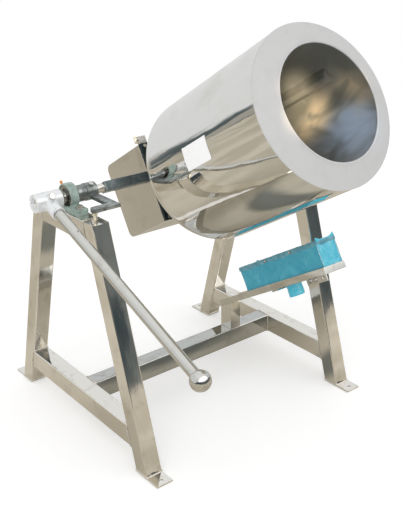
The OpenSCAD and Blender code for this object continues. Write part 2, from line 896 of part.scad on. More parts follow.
module wing_screw() {
    color("tan") pan_axis() translate([-cover_w / 2, -cover_up - lug_up, plate_front + mount_t / 2])
        rotate([0, 90, 0]) {
            cylinder(r = wing_screw_r, h = wing_shank, $fn = fine);
            translate([0, 0, -wing_hub_h]) cylinder(r = wing_hub_r, h = wing_hub_h, $fn = fine);
            translate([-wing_t / 2, -wing_span / 2, -wing_hub_h - wing_h / 2])
                cube([wing_t, wing_span, wing_h]);
        }
}

// Side view of the cover in (along the axis, up): square front, round back corners
module cover_side(inset) {
    back = cover_len - inset;
    r = cover_corner_r - inset;
    lo = -cover_down + inset;
    hi = cover_up - inset;
    front = inset > 0 ? -over : 0;
    translate([front, lo]) square([back - r - front, hi - lo]);
    translate([front, lo + r]) square([back - front, hi - lo - 2 * r]);
    for (y = [lo + r, hi - r]) translate([back - r, y]) circle(r = r, $fn = fine);
}

// The cover's side view, pushed out to a block of the given width
module cover_block(inset) {
    w = cover_w - 2 * inset;
    pan_axis() translate([-w / 2, 0, plate_back]) rotate([0, 90, 0]) mirror([1, 0, 0])
        linear_extrude(w) mirror([0, 1]) cover_side(inset);
}

// A folded sheet cover with a flange at its top and bottom, notched for the carrier bars
module drive_cover() {
    color([0.66, 0.63, 0.57]) difference() {
        union() {
            difference() {
                cover_block(0);
                cover_block(cover_t);
            }
            pan_axis() for (y = [-cover_up + cover_t - over, cover_down - cover_flange])
                translate([-cover_w / 2 + cover_t - over, y, plate_back])
                    cube([cover_w - 2 * cover_t + 2 * over, cover_flange - cover_t + over, cover_t]);
        }
        tilting() translate([-cover_w, -bar_s, -bar_s / 2 - seat_gap])
            cube([2 * cover_w, bar_s * 3 / 2 + seat_gap, bar_s + 2 * seat_gap]);
        pan_axis() cover_screw_places() cylinder(r = screw_r + seat_gap, h = mount_t * 2, $fn = fine);
    }
}

// Screws through the plate's front into the cover's flanges
module cover_screw_places() {
    for (x = [-1, 1], y = [-cover_up + cover_flange / 2 + cover_t / 2,
        cover_down - cover_flange / 2 - cover_t / 2])
        translate([x * cover_w * screw_at_share, y, plate_front]) children();
}

// The screws in the mounting plate hold the cover from the front and the gear case from the back
module plate_screws() {
    color("gainsboro") pan_axis() {
        cover_screw_places() {
            translate([0, 0, -screw_head_h]) cylinder(r = screw_head_r, h = screw_head_h, $fn = fine);
            cylinder(r = screw_r, h = mount_t + cover_t, $fn = fine);
        }
        case_screw_places() {
            translate([0, 0, case_foot_t]) cylinder(r = case_head_r, h = case_head_h, $fn = fine);
            translate([0, 0, -mount_t + over])
                cylinder(r = case_screw_r, h = mount_t - over + case_foot_t, $fn = fine);
        }
    }
}

// Pan bearing on the front of the mounting plate

module pan_bearing_housing() {
    color([0.53, 0.61, 0.58]) pan_axis() difference() {
        union() {
            translate([0, 0, plate_front - pan_brg_len]) cylinder(r = pan_brg_r, h = pan_brg_len);
            translate([0, 0, plate_front - pan_brg_flange_t])
                cylinder(r = pan_brg_flange_r, h = pan_brg_flange_t);
        }
        translate([0, 0, plate_front - pan_brg_len - over])
            cylinder(r = pan_brg_out_r + seat_gap, h = pan_brg_len + 2 * over);
        for (k = [0 : 3]) rotate(45 + k * 90)
            translate([pan_brg_bolt_ring, 0, plate_front - pan_brg_flange_t - over])
            cylinder(r = cap_shank_r + seat_gap, h = pan_brg_flange_t + 2 * over, $fn = fine);
    }
}

module pan_bearing_bolts() {
    color("gainsboro") pan_axis() for (k = [0 : 3]) rotate(45 + k * 90)
        translate([pan_brg_bolt_ring, 0, plate_front - pan_brg_flange_t]) {
            difference() {
                translate([0, 0, -cap_head_h]) cylinder(r = cap_head_r, h = cap_head_h, $fn = fine);
                translate([0, 0, -cap_head_h - over]) hex(cap_head_r, cap_head_h / 2 + over);
            }
            cylinder(r = cap_shank_r, h = pan_brg_flange_t + mount_t, $fn = fine);
        }
}

// Places of the two pan bearings, at the ends of their housing
module pan_bearing_places() {
    pan_axis() for (z = [plate_front - pan_brg_len + pan_brg_w / 2, plate_front - pan_brg_w / 2])
        translate([0, 0, z]) children();
}

module pan_ring_section(r0, r1, gap) {
    difference() {
        translate([r0, -pan_brg_w / 2]) square([r1 - r0, pan_brg_w]);
        translate([pan_ball_pitch, 0]) circle(r = pan_ball_r + gap, $fn = fine);
    }
}

module pan_bearing_outers() {
    color("silver") pan_bearing_places() rotate_extrude()
        pan_ring_section(pan_brg_out_in_r, pan_brg_out_r, track_gap);
}

module pan_bearing_inners() {
    color("silver") pan_bearing_places() rotate_extrude()
        pan_ring_section(out_r + seat_gap, pan_brg_in_out_r, roll_gap);
}

module pan_bearing_balls() {
    color("gainsboro") pan_bearing_places() for (k = [0 : pan_ball_count - 1])
        rotate(k * 360 / pan_ball_count) translate([pan_ball_pitch, 0, 0])
            sphere(r = pan_ball_r, $fn = fine);
}

// Gear train, drawn on the pan's axis

// A spur gear in outline: one four-sided tooth per pitch, on a root circle
module gear_outline(teeth, mod) {
    pitch_r = teeth * mod / 2;
    tip_r = pitch_r + addendum_share * mod;
    root_r = pitch_r - dedendum_share * mod;
    step = 360 / teeth;
    tip_a = step * tooth_tip_share / 2;
    root_a = step * tooth_root_share / 2;
    polygon([for (k = [0 : teeth - 1], p = [[root_r, -root_a], [tip_r, -tip_a], [tip_r, tip_a],
        [root_r, root_a]])
        p[0] * [cos(k * step + p[1]), sin(k * step + p[1])]]);
}

// Angle that the middle and motor gears are turned by, to put a tooth in a gap
mid_dir = atan2(-mid_up, mid_side);
small_turn = mid_dir + 180 + 180 / mid_small_teeth;
motor_dir = atan2(-motor_offset + mid_up, -mid_side);
big_turn = motor_dir;
motor_turn = motor_dir + 180 + 180 / motor_teeth;

module output_gear() {
    color("darkgray") pan_axis() translate([0, 0, slow_at]) difference() {
        rotate(mid_dir) linear_extrude(slow_w) gear_outline(out_teeth, slow_module);
        translate([0, 0, -over]) cylinder(r = out_r + seat_gap, h = slow_w + 2 * over);
    }
}

module middle_gear() {
    color("gray") pan_axis() translate([mid_side, -mid_up, slow_at]) difference() {
        union() {
            rotate(small_turn) linear_extrude(slow_w + gear_gap) gear_outline(mid_small_teeth, slow_module);
            translate([0, 0, slow_w + gear_gap]) rotate(big_turn)
                linear_extrude(fast_w) gear_outline(mid_big_teeth, fast_module);
        }
        translate([0, 0, -over])
            cylinder(r = pin_r + run_gap, h = slow_w + fast_w + gear_gap + 2 * over, $fn = fine);
    }
}

// The gear case in outline across the pan's axis
module case_outline(inset) {
    translate([-case_left + inset, -case_high + inset])
        square([case_left + case_right - 2 * inset, case_high + case_low - 2 * inset]);
}

// Screws through the case's feet into the mounting plate
module case_screw_places() {
    for (x = [-case_left + case_foot / 2, case_right - case_foot / 2], y = [-case_high - case_foot / 2,
        case_low + case_foot / 2])
        translate([x, y, plate_back]) children();
}

module gear_case() {
    color([0.5, 0.53, 0.55]) pan_axis() difference() {
        union() {
            translate([0, 0, plate_back]) linear_extrude(case_len - case_t) case_outline(0);
            translate([-case_left, -case_high - case_foot, plate_back])
                cube([case_left + case_right, case_high + case_low + 2 * case_foot, case_foot_t]);
        }
        translate([0, 0, plate_back + case_t]) linear_extrude(case_len) case_outline(case_t);
        translate([0, 0, plate_back - over]) cylinder(r = out_r + run_gap, h = case_t + 2 * over);
        translate([mid_side, -mid_up, plate_back - over])
            cylinder(r = pin_r + seat_gap, h = case_t + 2 * over, $fn = fine);
        case_screw_places() translate([0, 0, -over])
            cylinder(r = case_screw_r + seat_gap, h = case_foot_t + 2 * over, $fn = fine);
    }
}

// The plate that closes the gear case and carries the motor
module motor_flange() {
    color([0.45, 0.48, 0.5]) pan_axis() translate([0, 0, plate_back + case_len - case_t]) difference() {
        linear_extrude(case_t) case_outline(0);
        translate([0, -motor_offset, -over])
            cylinder(r = rotor_shaft_r + run_gap, h = case_t + 2 * over, $fn = fine);
        translate([mid_side, -mid_up, -over])
            cylinder(r = pin_r + seat_gap, h = case_t + 2 * over, $fn = fine);
    }
}

module gear_pin() {
    color("gainsboro") pan_axis() translate([mid_side, -mid_up, plate_back])
        cylinder(r = pin_r, h = case_len, $fn = fine);
}

module motor_case() {
    color([0.3, 0.33, 0.36]) pan_axis() translate([0, -motor_offset, plate_back + case_len]) difference() {
        union() {
            cylinder(r = motor_r, h = motor_len);
            for (k = [0 : fin_count - 1]) rotate(k * 360 / fin_count)
                translate([motor_r - over, -fin_w / 2, motor_t * 2])
                    cube([fin_h + over, fin_w, motor_len - 4 * motor_t]);
        }
        translate([0, 0, -over]) cylinder(r = motor_r - motor_t, h = motor_len - motor_t + over);
        translate([0, 0, motor_len - motor_t - over])
            cylinder(r = rotor_shaft_r + run_gap, h = motor_t / 2 + over, $fn = fine);
    }
}

// The motor's pinion, shaft and core turn as one
module motor_rotor() {
    back = plate_back + case_len;
    color("dimgray") pan_axis() translate([0, -motor_offset, 0]) {
        translate([0, 0, fast_at]) rotate(motor_turn)
            linear_extrude(fast_w) gear_outline(motor_teeth, fast_module);
        translate([0, 0, fast_at + over])
            cylinder(r = motor_teeth * fast_module / 2 - fast_module * dedendum_share,
            h = fast_w + gear_gap, $fn = fine);
        translate([0, 0, fast_at + fast_w + gear_gap])
            cylinder(r = rotor_shaft_r,
                h = back + motor_len - motor_t / 2 - gear_gap - fast_at - fast_w - over, $fn = fine);
        translate([0, 0, back + (motor_len - rotor_len) / 2]) cylinder(r = rotor_r, h = rotor_len);
    }
}

module output_shaft() {
    color("gainsboro") pan_axis() translate([0, 0, pan_len])
        cylinder(r = out_r, h = slow_at + slow_w - pan_len);
}

// Pan

module pan_fill(inset) {
    r = pan_corner_r - inset;
    front = inset > 0 ? -over : 0;
    translate([0, front]) square([pan_r - inset, pan_len - inset - r - front]);
    translate([0, front]) square([pan_r - inset - r, pan_len - inset - front]);
    intersection() {
        translate([pan_r - inset - r, pan_len - inset - r]) circle(r = r);
        square([pan_r, pan_len]);
    }
}

module pan_shell() {
    color("gainsboro") pan_axis() rotate_extrude($fn = 128) difference() {
        pan_fill(0);
        pan_fill(pan_t);
    }
}

module pan_lip() {
    color("lightgray") pan_axis() {
        rotate_extrude($fn = 128)
            polygon([[pan_r, 0], [pan_r, -pan_t], [mouth_r, -lip_h], [mouth_r, -lip_h + pan_t],
                [pan_r - pan_t, 0]]);
        rotate_extrude($fn = 128)
            translate([mouth_r + bead_r * bead_share, -lip_h + bead_r * bead_share / 2])
            circle(r = bead_r, $fn = fine);
    }
}

module mixing_flights() {
    r = pan_r - pan_t - seat_gap;
    color("silver") pan_axis() translate([0, 0, pan_len - flight_back_gap - flight_len])
        linear_extrude(flight_len)
        for (k = [0 : flight_count - 1]) rotate(k * 360 / flight_count + 90) intersection() {
            circle(r = r, $fn = 128);
            polygon([[r + over, -flight_w / 2], [r - flight_h, -flight_w * flight_top_share / 2],
                [r - flight_h, flight_w * flight_top_share / 2], [r + over, flight_w / 2]]);
        }
}

module pan_hub() {
    color("silver") pan_axis() translate([0, 0, pan_len]) difference() {
        union() {
            cylinder(r = hub_flange_r, h = hub_flange_t);
            cylinder(r = hub_boss_r, h = hub_boss_len);
        }
        translate([0, 0, -over]) cylinder(r = out_r + seat_gap, h = hub_boss_len + 2 * over);
        for (k = [0 : stud_count - 1]) rotate(k * 360 / stud_count) translate([stud_ring_r, 0, -over])
            cylinder(r = stud_r + seat_gap, h = hub_flange_t + 2 * over, $fn = fine);
    }
}

// Studs welded to the pan's back, with their nuts
module hub_studs() {
    color("gainsboro") pan_axis() for (k = [0 : stud_count - 1])
        rotate(k * 360 / stud_count) translate([stud_ring_r, 0, pan_len]) {
            cylinder(r = stud_r, h = hub_flange_t + stud_nut_h + stud_tail, $fn = fine);
            translate([0, 0, hub_flange_t]) hex(stud_nut_af, stud_nut_h);
        }
}

left_front_leg();
left_back_leg();
left_top_beam();
left_crossbar();
right_front_leg();
right_back_leg();
right_top_beam();
right_crossbar();
long_beam();
foot_plates();
left_bearing_housing();
right_bearing_housing();
bearing_outer_rings();
bearing_balls();
bearing_inner_rings();
bearing_bolts();
grease_nipples();
stop_bolt();
stop_locknut();
tray_post();
tray();
tray_bracket();
tray_bolts();
box_body();
box_lid();
box_spigot();
lid_screws();
left_tilt_shaft();
right_tilt_shaft();
left_carrier_bar();
right_carrier_bar();
lever_hub();
clamp_bolts();
lever_rod();
ball_knob();
shaft_collar();
stop_arm();
mounting_plate();
plate_lug();
wing_screw();
drive_cover();
plate_screws();
pan_bearing_housing();
pan_bearing_bolts();
pan_bearing_outers();
pan_bearing_balls();
pan_bearing_inners();
gear_case();
motor_flange();
gear_pin();
motor_case();
output_shaft();
output_gear();
middle_gear();
motor_rotor();
pan_shell();
pan_lip();
mixing_flights();
pan_hub();
hub_studs();
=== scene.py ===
"""Looks of the tilting coating mixer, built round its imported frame.

Lengths are metres in the frame of the CAD model: origin on the floor under the tilt shaft,
+X along that shaft, the pan's mouth towards -Y, +Z up.
"""

import logging
import math
from dataclasses import dataclass, field
from enum import Enum
from typing import Callable, ClassVar, Iterable, Sequence

import bmesh
import bpy
import numpy as np
from mathutils import Matrix, Vector, noise

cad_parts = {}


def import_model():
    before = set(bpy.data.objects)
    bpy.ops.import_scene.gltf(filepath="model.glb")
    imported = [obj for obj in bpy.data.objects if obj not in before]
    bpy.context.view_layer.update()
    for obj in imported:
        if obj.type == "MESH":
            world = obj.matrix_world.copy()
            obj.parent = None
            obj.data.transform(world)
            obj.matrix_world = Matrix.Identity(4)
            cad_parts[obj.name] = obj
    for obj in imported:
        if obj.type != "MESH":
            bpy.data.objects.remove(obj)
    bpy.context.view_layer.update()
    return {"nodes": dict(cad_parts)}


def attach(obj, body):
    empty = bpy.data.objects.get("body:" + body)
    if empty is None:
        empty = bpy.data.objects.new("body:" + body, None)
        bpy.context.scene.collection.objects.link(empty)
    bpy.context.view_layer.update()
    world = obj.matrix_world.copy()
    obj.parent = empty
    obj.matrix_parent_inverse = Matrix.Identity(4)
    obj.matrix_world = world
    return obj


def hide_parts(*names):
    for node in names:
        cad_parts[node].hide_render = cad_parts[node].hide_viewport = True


LOG = logging.getLogger("mixer")

Profile = tuple[tuple[float, float], ...]
Vec3 = tuple[float, float, float]
Rgb = tuple[float, float, float]
Socket = bpy.types.NodeSocket

PAN_TILT = math.radians(30.4)
LEVER_DIP = math.radians(21.2)
STAND_H = 0.660
LEG_FOOT_Y = 0.348
LEG_TOP_Y = 0.1555
LEG_SLOPE = (LEG_FOOT_Y - LEG_TOP_Y) / STAND_H
LEG_LEAN = math.atan(LEG_SLOPE)
AXIS_H = 0.6965
FRAME_X = 0.3615
LEVER_X = 0.424
TRAY_IN = 0.1865
TRAY_AXIS_H = 0.207
# How far the pan's rim lies ahead of the tilt shaft, and its axis below it, along the pan
RIM_AHEAD = 0.630
PAN_DROP = 0.0432
# The pan's rim and its axis in the frame of its own grain, which is turned by the tilt
PAN_RIM_BACK = RIM_AHEAD + AXIS_H * math.sin(PAN_TILT)
PAN_AXIS_UP = AXIS_H * math.cos(PAN_TILT) - PAN_DROP


def srgb(red: float, green: float, blue: float) -> Rgb:
    """Turns a colour as it shows on a screen into a linear one.

    Args:
        red: Red, 0 to 255.
        green: Green, 0 to 255.
        blue: Blue, 0 to 255.

    Returns:
        The linear colour.
    """
    shown = np.array([red, green, blue]) / 255.0
    linear = np.where(shown <= 0.04045, shown / 12.92, ((shown + 0.055) / 1.055) ** 2.4)
    return tuple(float(c) for c in linear)


@dataclass(frozen=True)
class Place:
    """A frame of reference.

    Args:
        origin: Its origin.
        across: Its first axis, a unit vector.
        along: Its second axis.
        up: Its third axis.
    """

    origin: Vec3
    across: Vec3
    along: Vec3
    up: Vec3

    def world(self, points: np.ndarray | Vec3) -> np.ndarray:
        """Moves points from this frame to the world.

        Args:
            points: An array of any shape, with a point in its last axis.

        Returns:
            The same points in the world.
        """
        turn = np.array([self.across, self.along, self.up])
        return np.asarray(points, float) @ turn + np.array(self.origin)

    def local(self, points: np.ndarray) -> np.ndarray:
        """Moves points from the world to this frame.

        Args:
            points: An array of any shape, with a point in its last axis.

        Returns:
            The same points in this frame.
        """
        return (points - np.array(self.origin)) @ np.array([self.across, self.along, self.up]).T


_C, _S = math.cos(PAN_TILT), math.sin(PAN_TILT)
# The pan: across, up from its axis, and back from its rim
PAN = Place((0.0, -RIM_AHEAD * _C - PAN_DROP * _S, AXIS_H + RIM_AHEAD * _S - PAN_DROP * _C),
            (1, 0, 0), (0, _S, _C), (0, _C, -_S))
# The tray: across, down its slope, and square to its sheet
TRAY = Place((FRAME_X - TRAY_IN, 0.0, TRAY_AXIS_H), (1, 0, 0), (0, _C, -_S), (0, _S, _C))
# The lever: across, square to it, and out along it
LEVER = Place((-LEVER_X, 0.0, AXIS_H), (1, 0, 0),
              (0, -math.sin(LEVER_DIP), math.cos(LEVER_DIP)),
              (0, -math.cos(LEVER_DIP), -math.sin(LEVER_DIP)))
# The tilt shaft: its third axis is the shaft's
SHAFT = Place((0.0, 0.0, AXIS_H), (0, 1, 0), (0, 0, 1), (1, 0, 0))


class Look(Enum):
    """What a finish is made of, which sets how its material is built."""

    METAL = "metal"
    CAST = "cast"
    FILM = "film"
    LINING = "lining"
    PAPER = "paper"


@dataclass(frozen=True)
class Finish:
    """One surface finish.

    Args:
        colour: Its linear main colour.
        soiled: The colour of its soiled or worn patches; in the pan's lining, the painted cool
            reflection low at the mouth.
        look: What it is made of.
        metallic: 1 for bare metal, 0 for paint and plastic.
        roughness: Its mean roughness.
        spread: How far the roughness varies.
        brush: Depth of its brush marks.
        wave_len: Length of its long waves.
        wave_h: Height of its long waves.
        patch: Size of its soiled patches.
        soil: How much of it is soiled, 0 to 1.
    """

    colour: Rgb
    soiled: Rgb
    look: Look = Look.METAL
    metallic: float = 1.0
    roughness: float = 0.25
    spread: float = 0.1
    brush: float = 0.00002
    wave_len: float = 0.12
    wave_h: float = 0.0
    patch: float = 0.05
    soil: float = 0.3


@dataclass(frozen=True)
class Graph:
    """A node tree with short calls for the nodes that the finishes use.

    Args:
        tree: The tree to fill.
    """

    tree: bpy.types.NodeTree

    @classmethod
    def fresh(cls, owner: bpy.types.Material | bpy.types.World) -> "Graph":
        """Empties a material's or a world's node tree.

        Args:
            owner: The material or world.

        Returns:
            Its graph.
        """
        owner.use_nodes = True
        owner.node_tree.nodes.clear()
        return cls(owner.node_tree)

    def link(self, value: Socket, node: bpy.types.Node, place: int | str = 0) -> None:
        """Links a value to one of a node's inputs."""
        self.tree.links.new(value, node.inputs[place])

    def add(self, kind: str, values: dict | None = None, **props: object) -> bpy.types.Node:
        """Adds a node.

        Args:
            kind: Its type, without the ShaderNode prefix.
            values: What its inputs get, by name or place: a socket to link, or a constant.
            **props: Its own settings.

        Returns:
            The node.
        """
        node = self.tree.nodes.new(f"ShaderNode{kind}")
        for key, value in props.items():
            setattr(node, key, value)
        for key, value in (values or {}).items():
            if isinstance(value, Socket):
                self.link(value, node, key)
            else:
                node.inputs[key].default_value = value
        return node

    def math(self, operation: str, first: object, second: object = 0.0,
             clamp: bool = False) -> Socket:
        """Adds a Math node.

        Args:
            operation: What it does.
            first: Its first number or socket.
            second: Its second number or socket.
            clamp: Whether the result is kept within 0 and 1.

        Returns:
            Its result.
        """
        node = self.add("Math", {0: first, 1: second}, operation=operation, use_clamp=clamp)
        return node.outputs[0]

    def blend(self, first: object, much: object, second: object, more: object,
              clamp: bool = False) -> Socket:
        """Adds up two values, each times its weight.

        Args:
            first: The first number or socket.
            much: Its weight.
            second: The second number or socket.
            more: Its weight.
            clamp: Whether the result is kept within 0 and 1.

        Returns:
            The sum.
        """
        return self.math("ADD", self.math("MULTIPLY", first, much),
                         self.math("MULTIPLY", second, more), clamp)

    def stretch(self, vector: Socket, by: object) -> Socket:
        """Multiplies a vector by another, part by part."""
        return self.add("VectorMath", {0: vector, 1: by}, operation="MULTIPLY").outputs[0]

    def measure(self, vector: Socket, length: Socket) -> Socket:
        """Divides a vector by a length."""
        scale = self.math("DIVIDE", 1.0, length)
        return self.add("VectorMath", {0: vector, 3: scale}, operation="SCALE").outputs[0]

    def group(self, tree: bpy.types.NodeTree, **values: object) -> Socket:
        """Adds a shared group.

        Args:
            tree: The group.
            **values: What its inputs get.

        Returns:
            Its output.
        """
        return self.add("Group", values, node_tree=tree).outputs[0]

    def mix(self, share: object, first: object, second: object) -> Socket:
        """Adds a colour mix.

        Args:
            share: 0 for the first colour, 1 for the second.
            first: A colour or socket.
            second: A colour or socket.

        Returns:
            The mixed colour.
        """
        node = self.add("Mix", data_type="RGBA")
        for socket, value in zip((node.inputs[0], node.inputs[6], node.inputs[7]),
                                 (share, first, second)):
            if isinstance(value, Socket):
                self.tree.links.new(value, socket)
            elif isinstance(value, float):
                socket.default_value = value
            else:
                socket.default_value = (*value, 1.0)
        return node.outputs[2]

    def band(self, value: object, low: float, high: float, start: float = 0.0,
             end: float = 1.0) -> Socket:
        """Maps low to high onto start to end, smoothly and clamped.

        Args:
            value: The number or socket to map.
            low: Where the band starts.
            high: Where it ends.
            start: Result at its start.
            end: Result at its end.

        Returns:
            The mapped value.
        """
        node = self.add("MapRange", {0: value, 1: low, 2: high, 3: start, 4: end},
                        interpolation_type="SMOOTHSTEP")
        return node.outputs[0]

    def noise(self, vector: object, scale: float, detail: float = 3.0,
              distortion: float = 0.0) -> Socket:
        """Adds a noise texture.

        Args:
            vector: Where it is read.
            scale: Its scale.
            detail: Its octaves.
            distortion: How far it is warped.

        Returns:
            Its value, about 0.3 to 0.7.
        """
        node = self.add("TexNoise", {"Vector": vector, "Scale": scale, "Detail": detail,
                                     "Distortion": distortion})
        return node.outputs[0]


class Groups:
    """The node groups that several finishes share."""

    def __init__(self) -> None:
        """Builds the groups."""
        self.grain = self._grain()
        self.smudge = self._smudge()
        self.relief = self._relief()

    @staticmethod
    def _new(name: str, inputs: Iterable[tuple[str, str, float]],
             output: tuple[str, str]) -> tuple[bpy.types.NodeTree, Graph, bpy.types.Node,
                                               bpy.types.Node]:
        """Starts a group.

        Args:
            name: Its name.
            inputs: Name, socket type and default of each input.
            output: Name and socket type of its output.

        Returns:
            The group's tree, its graph, and its input and output nodes.
        """
        tree = bpy.data.node_groups.new(name, "ShaderNodeTree")
        for label, kind, default in inputs:
            socket = tree.interface.new_socket(label, in_out="INPUT", socket_type=kind)
            if kind == "NodeSocketFloat":
                socket.default_value = default
        tree.interface.new_socket(output[0], in_out="OUTPUT", socket_type=output[1])
        return (tree, Graph(tree), tree.nodes.new("NodeGroupInput"),
                tree.nodes.new("NodeGroupOutput"))

    def _grain(self) -> bpy.types.NodeTree:
        """Gives the brush marks: fine streaks that run along the local Y axis.

        Returns:
            The group.
        """
        tree, graph, source, sink = self._new(
            "brush_marks", [("Vector", "NodeSocketVector", 0),
                            ("Fineness", "NodeSocketFloat", 900)], ("Value", "NodeSocketFloat"))
        across = source.outputs["Fineness"]
        along = graph.math("MULTIPLY", across, 0.012)
        stretch = graph.add("CombineXYZ", {0: across, 1: along, 2: across})
        spot = graph.stretch(source.outputs["Vector"], stretch.outputs[0])
        total = graph.blend(graph.noise(spot, 1.0, 2.0), 0.6, graph.noise(spot, 0.18, 2.0), 0.4)
        graph.link(total, sink)
        return tree

    def _smudge(self) -> bpy.types.NodeTree:
        """Gives the soiled patches: a mask of 0 to 1 with soft ragged edges.

        Returns:
            The group.
        """
        tree, graph, source, sink = self._new(
            "soiled_patches", [("Vector", "NodeSocketVector", 0),
                               ("Size", "NodeSocketFloat", 0.05),
                               ("Amount", "NodeSocketFloat", 0.3)], ("Mask", "NodeSocketFloat"))
        spot = graph.measure(source.outputs["Vector"], source.outputs["Size"])
        cloud = graph.noise(spot, 1.0, 6.0, 0.4)
        lifted = graph.math("ADD", cloud, graph.math("MULTIPLY", source.outputs["Amount"], 0.4))
        graph.link(graph.band(lifted, 0.52, 0.78), sink)
        return tree

    def _relief(self) -> bpy.types.NodeTree:
        """Gives the long low waves of hand-rolled sheet, as a height of -1 to 1.

        Returns:
            The group.
        """
        tree, graph, source, sink = self._new(
            "sheet_waves", [("Vector", "NodeSocketVector", 0),
                            ("Length", "NodeSocketFloat", 0.12)], ("Height", "NodeSocketFloat"))
        spot = graph.measure(source.outputs["Vector"], source.outputs["Length"])
        cloud = graph.noise(graph.stretch(spot, (1.0, 0.35, 1.0)), 1.0, 1.5)
        wave = graph.math("SUBTRACT", cloud, 0.5)
        graph.link(graph.math("MULTIPLY", wave, 2.0), sink)
        return tree


@dataclass(frozen=True)
class Coat:
    """A material under way, with a method for each look that fills it.

    Args:
        graph: Its graph.
        shader: Its shader.
        groups: The shared node groups.
        spot: Where its patterns are read.
        patches: Its soiled patches, 0 to 1.
        finish: Its finish.
    """

    graph: Graph
    shader: bpy.types.Node
    groups: Groups
    spot: Socket
    patches: Socket
    finish: Finish

    def feed(self, name: str, value: Socket) -> None:
        """Links a value to one of the shader's inputs."""
        self.graph.link(value, self.shader, name)

    def colour(self, share: Socket) -> None:
        """Mixes the finish's two colours by a share of 0 to 1."""
        self.feed("Base Color", self.graph.mix(share, self.finish.colour, self.finish.soiled))

    def rough(self, share: Socket) -> None:
        """Sets a roughness that varies round its mean by a share of 0 to 1."""
        varied = self.graph.math("MULTIPLY", share, self.finish.spread)
        self.feed("Roughness", self.graph.math(
            "ADD", self.finish.roughness - self.finish.spread / 2, varied, clamp=True))

    def waves(self, length: float) -> Socket:
        """Gives the sheet's waves of a length."""
        return self.graph.group(self.groups.relief, Vector=self.spot, Length=length)

    def bump(self, height: Socket, strength: float = 1.0) -> None:
        """Gives the shader a relief of a height in metres."""
        self.feed("Normal", self.graph.add("Bump", {
            "Height": height, "Distance": 1.0, "Strength": strength}).outputs[0])

    def metal(self) -> None:
        """Brushed, polished or oiled metal: waves, a tenth of shorter dents, and brush marks."""
        graph, finish = self.graph, self.finish
        marks = graph.group(self.groups.grain, Vector=self.spot, Fineness=1400.0)
        share = graph.blend(self.patches, 0.8, graph.band(marks, 0.4, 0.62), 0.2)
        self.colour(share)
        self.rough(share)
        dents = graph.math("MULTIPLY", self.waves(finish.wave_len / 4), 0.1)
        swell = graph.math("ADD", self.waves(finish.wave_len), dents)
        self.bump(graph.blend(marks, finish.brush, swell, finish.wave_h))

    def cast(self) -> None:
        """Painted or bare sand casting, with its pitted skin."""
        graph = self.graph
        pits = graph.noise(self.spot, 700.0, 3.0)
        self.colour(graph.blend(self.patches, 0.7, graph.band(pits, 0.45, 0.7), 0.3, True))
        self.rough(pits)
        self.bump(graph.blend(pits, 0.00025, graph.noise(self.spot, 90.0, 2.0), 0.0006), 0.4)

    def film(self) -> None:
        """Protective film with trapped air, and creases where a noise crosses its mean."""
        graph = self.graph
        crease = graph.math("SUBTRACT", graph.noise(self.spot, 26.0, 4.0, 1.6), 0.5)
        slope = graph.math("MULTIPLY", graph.math("ABSOLUTE", crease), 6.0)
        ridge = graph.math("SUBTRACT", 1.0, slope, clamp=True)
        small = graph.noise(self.spot, 160.0, 3.0, 0.8)
        self.colour(graph.blend(self.patches, 0.6, ridge, 0.35, True))
        self.rough(small)
        self.shader.inputs["Coat Weight"].default_value = 0.25
        self.shader.inputs["Coat Roughness"].default_value = 0.12
        self.bump(graph.blend(ridge, 0.0006, small, 0.00035), 0.8)

    def lining(self) -> None:
        """The pan's inside: satin steel with painted light and shade: golden deep down, a painted
        blue reflection low at the mouth, and painted shade above and in streaks.
        """
        graph, finish = self.graph, self.finish
        parts = graph.add("SeparateXYZ", {0: self.spot}).outputs
        broad = graph.noise(self.spot, 5.0, 1.5, 0.3)
        sway = graph.math("MULTIPLY", graph.math("SUBTRACT", broad, 0.5), 0.45)
        height = graph.math("ADD", graph.math("SUBTRACT", parts[2], PAN_AXIS_UP), sway)
        depth = graph.math("ADD", graph.math("ADD", parts[1], PAN_RIM_BACK), sway)
        # Painted cool reflection: a blue tone low in the pan near the mouth.
        cool = graph.math("MULTIPLY", graph.band(height, 0.05, -0.10),
                          graph.band(depth, 0.42, 0.16))
        tint = graph.mix(cool, finish.colour, finish.soiled)
        # Painted shade: darker towards the top, and in streaks along the pan.
        shade_streaks = graph.noise(graph.stretch(self.spot, (1.0, 0.45, 1.0)), 12.0, 2.0, 0.8)
        shade = graph.math("MAXIMUM", graph.band(height, 0.04, 0.13),
                           graph.band(shade_streaks, 0.44, 0.68))
        tint = graph.mix(graph.math("MULTIPLY", shade, 0.9), tint, srgb(148, 154, 150))
        tint = graph.mix(graph.math("MULTIPLY", self.patches, 0.3), tint, srgb(214, 216, 214))
        self.feed("Base Color", tint)
        self.rough(broad)
        self.bump(graph.math("MULTIPLY", self.waves(finish.wave_len), finish.wave_h))

    def paper(self) -> None:
        """A coated paper label."""
        graph, finish = self.graph, self.finish
        fibre = graph.noise(self.spot, 900.0, 4.0)
        self.colour(graph.math("MULTIPLY", graph.band(fibre, 0.4, 0.7), 0.3))
        varied = graph.math("MULTIPLY", self.patches, finish.spread)
        self.feed("Roughness", graph.math("ADD", finish.roughness, varied))
        self.bump(graph.math("MULTIPLY", fibre, 0.00008))


